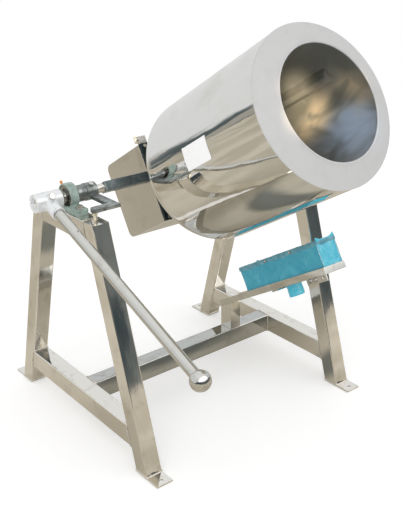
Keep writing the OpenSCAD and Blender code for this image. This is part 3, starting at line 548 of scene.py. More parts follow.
@dataclass
class Painter:
    """Makes each finish's material, once for each direction of its grain.

    Args:
        groups: The shared node groups.
        made: The materials so far, by finish, turn and flip.
    """

    groups: Groups = field(default_factory=Groups)
    made: dict[tuple[str, float, bool], bpy.types.Material] = field(default_factory=dict)

    def material(self, name: str, turn: float = 0.0, flip: bool = False) -> bpy.types.Material:
        """Gives a finish's material.

        Args:
            name: The finish's name in FINISHES.
            turn: Angle about X that lays the grain, which runs along Y, along the piece.
            flip: Whether the grain runs along X instead.

        Returns:
            The material.
        """
        key = (name, round(turn, 3), flip)
        if key not in self.made:
            self.made[key] = self._build(name, FINISHES[name], turn, flip)
        return self.made[key]

    def _build(self, name: str, finish: Finish, turn: float, flip: bool) -> bpy.types.Material:
        """Builds one material.

        Args:
            name: The material's name.
            finish: Its finish.
            turn: Angle of its grain about X.
            flip: Whether its grain runs along X.

        Returns:
            The material.
        """
        material = bpy.data.materials.new(name)
        graph = Graph.fresh(material)
        place = graph.add("TexCoord").outputs["Object"]
        kind, angle = ("Z_AXIS", math.pi / 2) if flip else ("X_AXIS", -turn)
        spot = graph.add("VectorRotate", {"Vector": place, "Angle": angle},
                         rotation_type=kind).outputs[0]
        shader = graph.add("BsdfPrincipled", {"Metallic": finish.metallic})
        graph.link(shader.outputs[0], graph.add("OutputMaterial"))
        patches = graph.group(self.groups.smudge, Vector=spot, Size=finish.patch,
                              Amount=finish.soil)
        coat = Coat(graph, shader, self.groups, spot, patches, finish)
        makers = {Look.METAL: coat.metal, Look.CAST: coat.cast, Look.FILM: coat.film,
                  Look.LINING: coat.lining, Look.PAPER: coat.paper}
        makers[finish.look]()
        return material


FINISHES: dict[str, Finish] = {
    "stand_steel": Finish(srgb(246, 243, 238), srgb(226, 220, 210), roughness=0.1, spread=0.07,
                          brush=0.000005, wave_len=0.08, wave_h=0.0007, patch=0.04, soil=0.02),
    # A darker copy of stand_steel for the long beam, low under the pan and box: painted shade.
    "beam_steel": Finish(srgb(202, 203, 201), srgb(184, 184, 180), roughness=0.1, spread=0.07,
                         brush=0.000005, wave_len=0.08, wave_h=0.0007, patch=0.04, soil=0.02),
    "tray_steel": Finish(srgb(228, 227, 222), srgb(208, 204, 196), roughness=0.14, spread=0.08,
                         brush=0.000006, wave_h=0.0002, patch=0.04, soil=0.05),
    "pan_steel": Finish(srgb(236, 235, 232), srgb(220, 217, 210), roughness=0.045, spread=0.04,
                        brush=0.0000008, wave_len=0.11, wave_h=0.0015, patch=0.12, soil=0.1),
    # The lining's golden main colour is painted warm light, and its blue second tone a painted cool
    # reflection.
    "pan_inner_steel": Finish(srgb(255, 243, 222), srgb(228, 236, 248), look=Look.LINING,
                              metallic=0.5, roughness=0.34, spread=0.12, wave_len=0.09,
                              wave_h=0.002, patch=0.05, soil=0.1),
    "ring_steel": Finish(srgb(197, 197, 197), srgb(193, 193, 193), metallic=0.0, roughness=0.55,
                         spread=0.08, brush=0.000004, patch=0.03, soil=0.15),
    "cast_grey": Finish(srgb(168, 188, 181), srgb(124, 140, 132), look=Look.CAST, metallic=0.0,
                        roughness=0.48, spread=0.2, patch=0.02, soil=0.25),
    "bearing_steel": Finish(srgb(205, 203, 198), srgb(120, 114, 104), roughness=0.22, spread=0.1,
                            patch=0.008, soil=0.3),
    "shaft_steel": Finish(srgb(232, 230, 226), srgb(200, 196, 188), roughness=0.14, spread=0.08,
                          brush=0.000004, wave_len=0.05, wave_h=0.00004, patch=0.03, soil=0.05),
    "lever_steel": Finish(srgb(218, 217, 213), srgb(200, 197, 190), roughness=0.11, spread=0.06,
                          brush=0.000003, wave_len=0.08, wave_h=0.00006, patch=0.04, soil=0.0),
    "fastener_steel": Finish(srgb(220, 218, 215), srgb(182, 178, 170), roughness=0.25, spread=0.15,
                             patch=0.006, soil=0.3),
    "zinc_yellow": Finish(srgb(248, 244, 232), srgb(222, 212, 186), roughness=0.28, spread=0.15,
                          patch=0.005, soil=0.3),
    "cap_orange": Finish(srgb(244, 150, 52), srgb(206, 110, 34), look=Look.CAST, metallic=0.0,
                         roughness=0.4, spread=0.1, patch=0.004, soil=0.2),
    "film_blue": Finish(srgb(38, 158, 186), srgb(84, 184, 204), look=Look.FILM, metallic=0.0,
                        roughness=0.3, spread=0.15, patch=0.05, soil=0.12),
    "film_lid": Finish(srgb(66, 140, 160), srgb(118, 174, 188), look=Look.FILM, metallic=0.0,
                       roughness=0.3, spread=0.15, patch=0.02, soil=0.25),
    # Near-white film for the beads down the box's front corners: a real fold with a painted
    # highlight.
    "film_crease": Finish(srgb(196, 226, 232), srgb(112, 190, 208), look=Look.FILM, metallic=0.0,
                          roughness=0.25, spread=0.1, patch=0.006, soil=0.3),
    # A brighter copy of film_blue: painted light on the box's front side, its standing folds and
    # the spigot.
    "film_bright": Finish(srgb(62, 186, 214), srgb(112, 208, 228), look=Look.FILM, metallic=0.0,
                          roughness=0.28, spread=0.15, patch=0.02, soil=0.2),
    "hub_cast": Finish(srgb(238, 240, 241), srgb(200, 206, 210), look=Look.CAST, metallic=0.3,
                       roughness=0.3, spread=0.12, patch=0.012, soil=0.1),
    "dark_steel": Finish(srgb(170, 176, 175), srgb(112, 117, 116), metallic=0.75, roughness=0.34,
                         spread=0.2, brush=0.00002, wave_h=0.0001, patch=0.02, soil=0.45),
    "bar_steel": Finish(srgb(146, 158, 160), srgb(98, 107, 110), metallic=0.7, roughness=0.3,
                        spread=0.2, brush=0.00002, wave_h=0.00015, patch=0.025, soil=0.4),
    "plate_steel": Finish(srgb(46, 60, 64), srgb(24, 30, 33), metallic=0.6, roughness=0.38,
                          spread=0.2, brush=0.00002, patch=0.03, soil=0.4),
    "drive_paint": Finish(srgb(216, 212, 204), srgb(192, 186, 176), metallic=0.92, roughness=0.2,
                          spread=0.1, brush=0.000006, wave_len=0.09, wave_h=0.0005,
                          patch=0.07, soil=0.05),
    "gear_steel": Finish(srgb(150, 152, 152), srgb(96, 98, 98), roughness=0.3, spread=0.14,
                         patch=0.01, soil=0.3),
    "weld_steel": Finish(srgb(226, 221, 212), srgb(190, 181, 168), metallic=0.7, roughness=0.42,
                         spread=0.2, brush=0.0, patch=0.006, soil=0.1),
    "seal_rubber": Finish(srgb(70, 72, 70), srgb(46, 46, 45), look=Look.CAST, metallic=0.0,
                          roughness=0.55, spread=0.15, patch=0.004, soil=0.3),
    "label_paper": Finish(srgb(250, 250, 250), srgb(240, 241, 243), look=Look.PAPER, metallic=0.0,
                          roughness=0.32, spread=0.1, patch=0.03, soil=0.2),
}


def placed(name: str, data: bpy.types.ID) -> bpy.types.Object:
    """Puts a mesh, a lamp or a camera into the scene.

    Args:
        name: The object's name.
        data: What it shows.

    Returns:
        The object.
    """
    obj = bpy.data.objects.new(name, data)
    bpy.context.scene.collection.objects.link(obj)
    return obj


@dataclass
class MeshMaker:
    """Collects vertices and faces, in metres, and turns them into one object.

    Args:
        name: The object's name.
        points: The arrays of points so far.
        faces: The faces so far, as places among all points.
        slots: The place of each face's material.
        count: The number of points.
    """

    name: str
    points: list[np.ndarray] = field(default_factory=list)
    faces: list[list[int]] = field(default_factory=list)
    slots: list[int] = field(default_factory=list)
    count: int = 0

    def grid(self, rows: np.ndarray, slot: int = 0, close_rows: bool = False,
             close_columns: bool = True, caps: bool = False) -> None:
        """Adds a surface given as rows of points: each square joins four neighbours.

        Args:
            rows: Points in the world, as an array of rows by columns by 3.
            slot: The place of its material.
            close_rows: Whether the last row joins the first.
            close_columns: Whether each row is a ring.
            caps: Whether the first and last ring are closed with a face.
        """
        high, wide = rows.shape[:2]
        i = np.arange(high if close_rows else high - 1)[:, None]
        j = np.arange(wide if close_columns else wide - 1)[None, :]
        here, there, beside = i * wide, (i + 1) % high * wide, (j + 1) % wide
        squares = np.stack([here + j, here + beside, there + beside, there + j], axis=-1)
        faces = (squares.reshape(-1, 4) + self.count).tolist()
        if caps:
            ring = np.arange(self.count, self.count + wide)
            faces += [ring.tolist(), (ring + (high - 1) * wide).tolist()]
        self.faces += faces
        self.slots += [slot] * len(faces)
        self.points.append(rows.reshape(-1, 3))
        self.count += high * wide

    def lathe(self, profile: Profile | np.ndarray, place: Place, segments: int = 96,
              slots: Sequence[int] | None = None) -> None:
        """Adds a closed profile turned round a place's third axis.

        Args:
            profile: Radius and length of each point round the profile.
            place: The frame whose third axis it turns round.
            segments: Steps round the axis.
            slots: The material's place for each side of the profile, if not 0.
        """
        angles = np.linspace(0, 2 * math.pi, segments, endpoint=False)
        radius, length = np.array(profile, float).T[:, :, None]
        first = len(self.faces)
        self.grid(place.world(np.stack(np.broadcast_arrays(
            radius * np.cos(angles), radius * np.sin(angles), length), axis=-1)), close_rows=True)
        if slots is not None:
            self.slots[first:] = np.repeat(slots, segments).tolist()

    def sweep(self, path: np.ndarray, radius: np.ndarray | float, ring: int = 10,
              closed: bool = True, slot: int = 0) -> None:
        """Adds a round bead along a path: at each point a circle that stands square to it.

        Args:
            path: Points in the world, one a row.
            radius: Its radius, or one for each point.
            ring: Points round the bead.
            closed: Whether the path is a loop.
            slot: The place of its material.
        """
        path = np.asarray(path, float)
        radii = np.broadcast_to(radius, len(path))
        ahead = np.roll(path, -1, 0) - np.roll(path, 1, 0)
        if not closed:
            ahead[0], ahead[-1] = path[1] - path[0], path[-1] - path[-2]
        ahead /= np.linalg.norm(ahead, axis=1)[:, None]
        side = np.cross(ahead, np.array([0.31, 0.53, 0.79]))
        side /= np.linalg.norm(side, axis=1)[:, None]
        other = np.cross(ahead, side)
        turn = np.linspace(0, 2 * math.pi, ring, endpoint=False)
        rows = (path[:, None] + radii[:, None, None]
                * (np.cos(turn)[None, :, None] * side[:, None]
                   + np.sin(turn)[None, :, None] * other[:, None]))
        self.grid(rows, slot, close_rows=closed, caps=not closed)

    def build(self, materials: Sequence[bpy.types.Material], sharp: float = 40.0,
              weighted: bool = True) -> bpy.types.Object:
        """Makes the object.

        Args:
            materials: Its materials, by place.
            sharp: Edges that turn by more than this many degrees stay sharp.
            weighted: Whether flat faces keep a flat shading next to rounded edges.

        Returns:
            The object.
        """
        mesh = bpy.data.meshes.new(self.name)
        mesh.from_pydata(np.concatenate(self.points).tolist(), [], self.faces)
        mesh.polygons.foreach_set("material_index", self.slots)
        shape = bmesh.new()
        shape.from_mesh(mesh)
        bmesh.ops.remove_doubles(shape, verts=shape.verts, dist=1e-7)
        bmesh.ops.recalc_face_normals(shape, faces=shape.faces)
        shape.to_mesh(mesh)
        shape.free()
        mesh.shade_smooth()
        mesh.set_sharp_from_angle(angle=math.radians(sharp))
        for material in materials:
            mesh.materials.append(material)
        obj = placed(self.name, mesh)
        if weighted:
            modify(obj, "normals", "WEIGHTED_NORMAL", keep_sharp=True)
        return obj


def round_section(width: float, depth: float, radius: float, steps: int = 5) -> np.ndarray:
    """Gives a rounded rectangle: a quarter circle round each corner's centre.

    Args:
        width: Its width.
        depth: Its depth.
        radius: Radius of its corners.
        steps: Steps round each corner.

    Returns:
        Its points, one a row.
    """
    quarter = np.linspace(0, math.pi / 2, steps + 1)
    turns = (np.arange(4)[:, None] * math.pi / 2 + quarter).ravel()
    corners = np.repeat([(1, 1), (-1, 1), (-1, -1), (1, -1)], steps + 1, axis=0)
    straight = np.array([width / 2 - radius, depth / 2 - radius])
    return corners * straight + radius * np.column_stack([np.cos(turns), np.sin(turns)])


@dataclass(frozen=True)
class Cut:
    """A plane that ends a tube.

    Args:
        point: A point of the plane.
        normal: Its normal.
    """

    point: Vec3
    normal: Vec3


@dataclass(frozen=True)
class Tube:
    """A square tube of the stand.

    Args:
        node: The CAD node that it replaces.
        middle: A point on its middle line.
        along: Its direction.
        width: Its size across.
        depth: Its other size.
        cuts: The planes at its two ends.
        welded: Whether a weld runs round each end.
    """

    node: str
    middle: Vec3
    along: Vec3
    width: float
    depth: float
    cuts: tuple[Cut, Cut]
    welded: tuple[bool, bool] = (True, True)

    @property
    def side(self) -> np.ndarray:
        """Gives the direction of its width."""
        return np.array((1.0, 0, 0) if abs(self.along[0]) < 0.5 else (0, 1.0, 0))

    def ring(self, end: int, grow: float = 0.0) -> np.ndarray:
        """Gives its outline at one end.

        Args:
            end: 0 or 1.
            grow: How far the outline stands outside the tube.

        Returns:
            The outline's points in the world.
        """
        along = np.array(self.along)
        depth = np.cross(self.side, along)
        outline = round_section(self.width + 2 * grow, self.depth + 2 * grow, 0.004 + grow)
        starts = (np.array(self.middle) + outline[:, :1] * self.side + outline[:, 1:] * depth)
        cut = self.cuts[end]
        normal = np.array(cut.normal)
        reach = (np.array(cut.point) - starts) @ normal / float(along @ normal)
        return starts + reach[:, None] * along


def modify(obj: bpy.types.Object, name: str, kind: str, **props: object) -> None:
    """Adds a modifier.

    Args:
        obj: The object.
        name: The modifier's name.
        kind: Its type.
        **props: Its settings.
    """
    modifier = obj.modifiers.new(name, kind)
    for key, value in props.items():
        setattr(modifier, key, value)


def drop_normals(mesh: bpy.types.Mesh) -> None:
    """Removes the normals that a CAD node's mesh stores.

    Args:
        mesh: The mesh.
    """
    stored = mesh.attributes.get("custom_normal")
    if stored is not None:
        mesh.attributes.remove(stored)


def soften(obj: bpy.types.Object, width: float, segments: int = 2, angle: float = 32.0) -> None:
    """Rounds a CAD node's edges for the light, with modifiers alone.

    Args:
        obj: The node's object.
        width: Width of the rounding.
        segments: Steps across it.
        angle: Edges that turn by less than this many degrees are left.
    """
    drop_normals(obj.data)
    obj.data.shade_smooth()
    modify(obj, "weld", "WELD", merge_threshold=1e-6)
    modify(obj, "flat", "DECIMATE", decimate_type="DISSOLVE", angle_limit=math.radians(0.6))
    modify(obj, "edge", "BEVEL", width=width, segments=segments, limit_method="ANGLE",
           angle_limit=math.radians(angle), use_clamp_overlap=False)
    modify(obj, "normals", "WEIGHTED_NORMAL", keep_sharp=True)


def ripple(points: np.ndarray, scale: float, height: float, seed: float) -> np.ndarray:
    """Gives Blender's own smooth noise, which it reads one point at a time.

    Args:
        points: An array of any shape, with a point in its last axis.
        scale: Its waves per metre.
        height: Its greatest size.
        seed: Where in the noise it is read.

    Returns:
        One number a point, in the shape of the points.
    """
    shift = Vector((seed, seed * 2.3, seed * 5.1))
    values = [height * noise.noise(Vector(p) * scale + shift) for p in points.reshape(-1, 3)]
    return np.array(values).reshape(points.shape[:-1])


@dataclass
class Assembly:
    """Shared work of the sub-assemblies.

    Args:
        nodes: The CAD node objects by name.
        painter: The maker of materials.
        made: The pieces that are dressed or built so far.
    """

    nodes: dict[str, bpy.types.Object]
    painter: Painter
    made: list[str] = field(default_factory=list)
    body: ClassVar[str] = "stand"
    # CAD nodes that keep their shape: finish, width of the rounding, turn and flip of the grain
    kept: ClassVar[dict[str, tuple]] = {}

    def keep_all(self) -> None:
        """Dresses the CAD nodes that keep their shape."""
        for name, how in self.kept.items():
            self.keep(name, *how)

    def keep(self, name: str, finish: str, edge: float = 0.0006, turn: float = 0.0,
             flip: bool = False) -> None:
        """Gives a CAD node its finish and rounds its edges.

        Args:
            name: The node's name.
            finish: Its finish.
            edge: Width of the rounding, or 0 for none.
            turn: Angle of the grain about X.
            flip: Whether the grain runs along X.
        """
        obj = self.nodes[name]
        material = self.painter.material(finish, turn, flip)
        if not obj.material_slots:
            obj.data.materials.append(material)
        for slot in obj.material_slots:
            slot.material = material
        if edge > 0:
            soften(obj, edge)
        self.made.append(name)

    def own(self, obj: bpy.types.Object, slot: str, *nodes: str, body: str | None = None) -> None:
        """Places a piece of the scene on its body.

        Args:
            obj: The piece.
            slot: Not used.
            *nodes: The CAD nodes that it replaces.
            body: Its body, if it isn't the sub-assembly's.
        """
        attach(obj, body or self.body)
        if nodes:
            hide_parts(*nodes)
        self.made.append(obj.name)

    def cast(self, name: str, finish: str, slot: str, voxel: float = 0.0011,
             smooth: int = 6) -> bpy.types.Object:
        """Replaces a CAD node by a casting of the same shape with soft edges.

        Args:
            name: The node's name.
            finish: Its finish.
            slot: Not used; it is only passed on to own.
            voxel: Size of the remesh.
            smooth: How often it is smoothed.

        Returns:
            The casting.
        """
        mesh = self.nodes[name].data.copy()
        mesh.name = f"{name}_casting"
        drop_normals(mesh)
        obj = placed(f"{name}_casting", mesh)
        modify(obj, "remesh", "REMESH", mode="VOXEL", voxel_size=voxel)
        modify(obj, "rounding", "SMOOTH", factor=0.5, iterations=smooth)
        baked = bpy.data.meshes.new_from_object(
            obj.evaluated_get(bpy.context.evaluated_depsgraph_get()))
        obj.modifiers.clear()
        obj.data = baked
        baked.materials.clear()
        baked.materials.append(self.painter.material(finish))
        baked.shade_smooth()
        self.own(obj, slot, name)
        return obj


@dataclass
class Stand(Assembly):
    """The welded stand and its pillow bearings.

    Args:
        tube: Width of the square tubes.
        beam: Height of the top beams, the crossbars and the long beam.
        beam_lows: Height of each kind of beam's lower side.
        foot: Thickness of the foot plates.
        bead: Mean radius of the weld beads.
        bead_step: Distance of the points along a bead.
        bead_out: How far a bead's middle lies outside the tube.
        seal_face: Distance of a bearing's seals from its middle.
        screw_out: Distance of a bearing's set screws from its middle.
        screw_turns: Where they stand round the shaft.
        seal: Radius and height over its face of each point round a seal.
        screw: Radius and height over the shaft's axis of each point round a set screw.
    """

    body: ClassVar[str] = "stand"
    kept: ClassVar[dict[str, tuple]] = {
        "foot_plates": ("stand_steel", 0.0008), "tray_post": ("stand_steel", 0.0015),
        "stop_bolt": ("zinc_yellow", 0.0005), "stop_locknut": ("zinc_yellow", 0.0005),
        "bearing_outer_rings": ("bearing_steel", 0.0004),
        "bearing_inner_rings": ("bearing_steel", 0.0004), "bearing_balls": ("bearing_steel", 0),
        "bearing_bolts": ("fastener_steel", 0.0005), "grease_nipples": ("cap_orange", 0.0005)}
    tube: float = 0.05
    beam: float = 0.06
    beam_lows: tuple[tuple[str, float], ...] = (("top_beam", 0.600), ("crossbar", 0.067))
    foot: float = 0.005
    bead: float = 0.0019
    bead_step: float = 0.0016
    bead_out: float = 0.0004
    seal_face: float = 0.0072
    screw_out: float = 0.0125
    screw_turns: tuple[float, float] = (0.4, 2.5)
    seal: Profile = ((0.0179, 0.0), (0.0179, 0.0006), (0.0195, 0.0013), (0.0212, 0.0012),
                     (0.0221, 0.0004), (0.0221, 0.0))
    screw: Profile = ((0.0004, 0.0165), (0.0004, 0.0168), (0.0013, 0.0168), (0.0013, 0.0179),
                      (0.0024, 0.0179), (0.0026, 0.0177), (0.0026, 0.0165))

    def tubes(self) -> list[Tube]:
        """Lists the stand's tubes.

        Returns:
            The legs and beams of each side, and then the long beam.
        """
        found = []
        floor, top = Cut((0, 0, self.foot), (0, 0, 1)), Cut((0, 0, STAND_H), (0, 0, 1))
        deep = self.tube / math.cos(LEG_LEAN)
        for label, x in (("left", -FRAME_X), ("right", FRAME_X)):
            inner = []
            for part, s in (("front", 1), ("back", -1)):
                found.append(Tube(f"{label}_{part}_leg", (x, s * (-LEG_FOOT_Y + deep / 2), 0.0),
                                  (0, s * math.sin(LEG_LEAN), math.cos(LEG_LEAN)),
                                  self.tube, self.tube, (floor, top), (True, False)))
                inner.append(Cut((x, s * (-LEG_FOOT_Y + deep), 0.0), (0, s * 1.0, -LEG_SLOPE)))
            for part, low in self.beam_lows:
                found.append(Tube(f"{label}_{part}", (x, 0, low + self.beam / 2), (0, 1, 0),
                                  self.tube, self.beam, (inner[0], inner[1])))
        reach = FRAME_X - self.tube / 2
        middle = (0, 0, self.beam_lows[1][1] + self.beam / 2)
        found.append(Tube("long_beam", middle, (1, 0, 0), self.tube, self.beam,
                          (Cut((-reach, 0, 0), (1, 0, 0)), Cut((reach, 0, 0), (1, 0, 0)))))
        return found

    def build(self) -> None:
        """Builds the stand's pieces."""
        for label in ("left", "right"):
            self.frame_side(label)
        self.tube_piece(self.tubes()[-1])
        self.bearings()
        self.keep_all()

    def tube_piece(self, tube: Tube) -> None:
        """Builds one tube: a rounded rectangle, carried straight to the plane at each end.

        Args:
            tube: The tube.
        """
        maker = MeshMaker(f"{tube.node}_tube")
        maker.grid(np.array([tube.ring(0), tube.ring(1)]), caps=True)
        turn = math.atan2(tube.along[2], tube.along[1]) if abs(tube.along[0]) < 0.5 else 0.0
        # The long beam takes the darker copy of the stand's steel, which is painted shade.
        finish = "beam_steel" if tube.node == "long_beam" else "stand_steel"
        material = self.painter.material(finish, turn, abs(tube.along[0]) > 0.5)
        self.own(maker.build([material]), "stand_steel", tube.node)

    def frame_side(self, label: str) -> None:
        """Builds one A-frame with its welds.

        Args:
            label: left or right.
        """
        welds = MeshMaker(f"{label}_frame_welds")
        for tube in self.tubes():
            if tube.node == "long_beam":
                ends = [0 if label == "left" else 1]
            elif tube.node.startswith(label):
                self.tube_piece(tube)
                ends = [end for end in (0, 1) if tube.welded[end]]
            else:
                continue
            for end in ends:
                self.weld(welds, tube.ring(end, self.bead_out), hash_seed(tube.node) + end)
        self.own(welds.build([self.painter.material("weld_steel")], 60, False), "stand_steel")

    def weld(self, maker: MeshMaker, loop: np.ndarray, seed: float) -> None:
        """Lays a weld bead round a loop: its radius is a mean, a sine and a noise.

        Args:
            maker: The mesh that it goes into.
            loop: The loop's points.
            seed: Where its ripple starts.
        """
        dense = resample(loop, self.bead_step)
        steps = np.arange(len(dense))
        size = self.bead + 0.0003 * np.sin(steps * 2.1 + seed) + ripple(dense, 90, 0.0006, seed)
        maker.sweep(dense, size, 8)

    def bearings(self) -> None:
        """Builds the two pillow bearings."""
        for label in ("left", "right"):
            self.cast(f"{label}_bearing_housing", "cast_grey", "cast_grey")
        seals = MeshMaker("bearing_seals")
        screws = MeshMaker("bearing_set_screws")
        for x in (-FRAME_X, FRAME_X):
            for s in (-1, 1):
                face = x + s * self.seal_face
                seals.lathe(np.array(self.seal) * (1, s) + (0, face), SHAFT, 72)
            for turn in self.screw_turns:
                out = Place((x + self.screw_out, 0.0, AXIS_H), (1, 0, 0),
                            (0, -math.sin(turn), math.cos(turn)),
                            (0, math.cos(turn), math.sin(turn)))
                screws.lathe(self.screw, out, 20)
        self.own(seals.build([self.painter.material("seal_rubber")]), "dark_steel")
        self.own(screws.build([self.painter.material("dark_steel")]), "dark_steel",
                 body="tilting_drive")


def hash_seed(name: str) -> float:
    """Gives a fixed number for a name.

    Args:
        name: The name.

    Returns:
        A number from 0 to 10.
    """
    return sum(ord(letter) * (k + 3) for k, letter in enumerate(name)) % 997 / 99.7


def resample(loop: np.ndarray, step: float) -> np.ndarray:
    """Spaces points evenly round a closed loop.

    Args:
        loop: The loop's points.
        step: The distance wanted.

    Returns:
        The new points.
    """
    ring = np.vstack([loop, loop[:1]])
    run = np.concatenate([[0.0], np.cumsum(np.linalg.norm(np.diff(ring, axis=0), axis=1))])
    spots = np.linspace(0.0, run[-1], max(12, int(run[-1] / step)), endpoint=False)
    return np.column_stack([np.interp(spots, run, ring[:, k]) for k in range(3)])


@dataclass
class TrayAndBox(Assembly):
    """The tray with the film-wrapped box, whose sizes are in the tray's frame.

    Args:
        left: The box's left side.
        right: Its right side.
        front: Its front.
        back: Its back.
        floor: Its underside.
        top: Its top.
        lid_low: The lower edge of its lid.
        lid_top: The lid's top.
        lid_out: How far the lid stands out.
        body_grid: Size of the body's squares, and the radius of its edges.
        body_film: Least and greatest height of the film on the body.
        lid_grid: Size of the lid's squares, and the radius of its edges.
        lid_film: Least and greatest height of the film on the lid.
        skirt: Height of the lid's lower edge that hangs ragged.
        skirt_drop: Least and greatest drop of that edge.
        spigot_at: The spigot's middle.
        spigot_wall: Beyond this radius the spigot's film is creased.
        spigot: Radius and height over the tray of each point round its profile.
        fold_foot: How far the standing folds reach below the lid's top.
        fold_rise: Their height between the corners.
        fold_ends: How much higher they stand at the two ends of each edge.
        fold_reach: How far that height reaches from each end.
        fold_profile: Distance from the edge and share of the height of each point across.
    """

    body: ClassVar[str] = "stand"
    kept: ClassVar[dict[str, tuple]] = {
        "tray": ("tray_steel", 0.0006, -PAN_TILT),
        "tray_bracket": ("tray_steel", 0.0006, 0.0, True),
        "tray_bolts": ("fastener_steel", 0.0005), "lid_screws": ("fastener_steel", 0.0005)}
    left: float = 0.005
    right: float = 0.077
    front: float = -0.498
    back: float = -0.127
    floor: float = 0.002
    top: float = 0.096
    lid_low: float = 0.084
    lid_top: float = 0.0975
    lid_out: float = 0.0025
    body_grid: tuple[float, float] = (0.004, 0.0035)
    body_film: tuple[float, float] = (-0.0012, 0.0016)
    lid_grid: tuple[float, float] = (0.003, 0.0025)
    lid_film: tuple[float, float] = (-0.0008, 0.0018)
    skirt: float = 0.005
    skirt_drop: tuple[float, float] = (-0.002, 0.004)
    spigot_at: Vec3 = (0.041, -0.308, 0.0)
    spigot_wall: float = 0.021
    spigot: Profile = (
        (0.0232, 0.0018), (0.0235, -0.004), (0.0232, -0.012), (0.0236, -0.020), (0.0234, -0.028),
        (0.0236, -0.0335), (0.0230, -0.0358), (0.0212, -0.0368), (0.012, -0.0364),
        (0.0004, -0.0362), (0.0004, -0.0340), (0.0205, -0.0342), (0.0212, -0.033),
        (0.0214, 0.0018))
    fold_foot: float = 0.004
    fold_rise: float = 0.0042
    fold_ends: Profile = ((0.0065, 0.0085), (0.0060, 0.0050))
    fold_reach: tuple[float, float] = (0.011, 0.013)
    fold_profile: Profile = ((-0.0012, 0.0), (0.0022, 0.0), (0.0024, 0.45), (0.0006, 1.0),
                             (-0.0002, 1.0), (-0.0010, 0.5))

    def build(self) -> None:
        """Builds the tray's pieces."""
        self.keep_all()
        self.box()
        self.lid()
        self.folds()
        self.spigot_film()

    @staticmethod
    def wrapped(low: Vec3, high: Vec3, step: float, radius: float,
                shape: Callable[[np.ndarray], np.ndarray]) -> dict[tuple[int, int], np.ndarray]:
        """Gives a box's six sides as grids of small squares, with rounded edges and a relief.

        Each point is drawn back into a box that is smaller by the radius, and pushed out from
        there by the radius and the relief.

        Args:
            low: Its lowest corner in the tray's frame.
            high: Its highest corner.
            step: Size of the squares.
            radius: Radius of its edges.
            shape: Turns points into heights.

        Returns:
            Each side's points in the tray's frame, by its axis and its end, 0 or 1.
        """
        low, high = np.array(low), np.array(high)
        counts = np.maximum(2, np.round((high - low) / step).astype(int))
        sheets = {}
        for axis, end in ((axis, end) for axis in range(3) for end in (0, 1)):
            one, two = (axis + 1) % 3, (axis + 2) % 3
            share = np.full((counts[one] + 1, counts[two] + 1, 3), float(end))
            share[..., one] = np.linspace(0, 1, counts[one] + 1)[:, None]
            share[..., two] = np.linspace(0, 1, counts[two] + 1)[None, :]
            cloud = low + (high - low) * share
            inner = np.clip(cloud, low + radius, high - radius)
            away = cloud - inner
            away /= np.linalg.norm(away, axis=-1)[..., None]
            cloud = inner + away * radius
            sheets[axis, end] = cloud + away * shape(cloud)[..., None]
        return sheets

    def box(self) -> None:
        """Builds the box's body, wrapped in film."""

        def relief(points: np.ndarray) -> np.ndarray:
            """Gives the film's height: slack and folds that fade out towards the tray.

            Args:
                points: Points in the tray's frame.

            Returns:
                One height a point.
            """
            slack = ripple(points * np.array([1, 0.5, 1]), 22, 0.0011, 3.0)
            fold = np.abs(ripple(points * np.array([1, 1.6, 0.7]), 60, 0.0012, 8.0))
            low = np.clip((points[..., 2] - 0.006) / 0.01, 0, 1)
            return np.clip((slack + fold) * low, *self.body_film)

        maker = MeshMaker("box_body_film")
        # The front side gets the brighter copy of the film, which is painted light.
        front = (1, 0)
        for side, cloud in self.wrapped((self.left, self.front, self.floor),
                                        (self.right, self.back, self.top), *self.body_grid,
                                        relief).items():
            maker.grid(TRAY.world(cloud), int(side == front), close_columns=False)
        paint = self.painter.material
        self.own(maker.build([paint("film_blue", -PAN_TILT), paint("film_bright", -PAN_TILT)], 75),
                 "film_blue", "box_body")

    def lid(self) -> None:
        """Builds the lid, whose film hangs below its edge by a ragged drop of two noises."""
        out = self.lid_out

        def relief(points: np.ndarray) -> np.ndarray:
            """Gives the film's height: slack plus the absolute value of a finer noise.

            Args:
                points: Points in the tray's frame.

            Returns:
                One height a point.
            """
            slack = ripple(points, 30, 0.0012, 5.0)
            fold = np.abs(ripple(points * np.array([1, 1.3, 0.4]), 95, 0.0014, 1.0))
            return np.clip(slack + fold - 0.0002, *self.lid_film)

        maker = MeshMaker("box_lid_film")
        for cloud in self.wrapped((self.left - out, self.front - out, self.lid_low),
                                  (self.right + out, self.back + out, self.lid_top),
                                  *self.lid_grid, relief).values():
            flat = cloud * np.array([1, 1, 0])
            drop = ripple(flat, 55, 0.0035, 2.0) + ripple(flat, 150, 0.0015, 4.0)
            edge = np.clip((self.lid_low + self.skirt - cloud[..., 2]) / self.skirt, 0, 1)
            cloud[..., 2] -= edge * np.clip(drop + 0.001, *self.skirt_drop)
            maker.grid(TRAY.world(cloud), close_columns=False)
        self.own(maker.build([self.painter.material("film_lid", -PAN_TILT)], 75),
                 "film_blue", "box_lid")

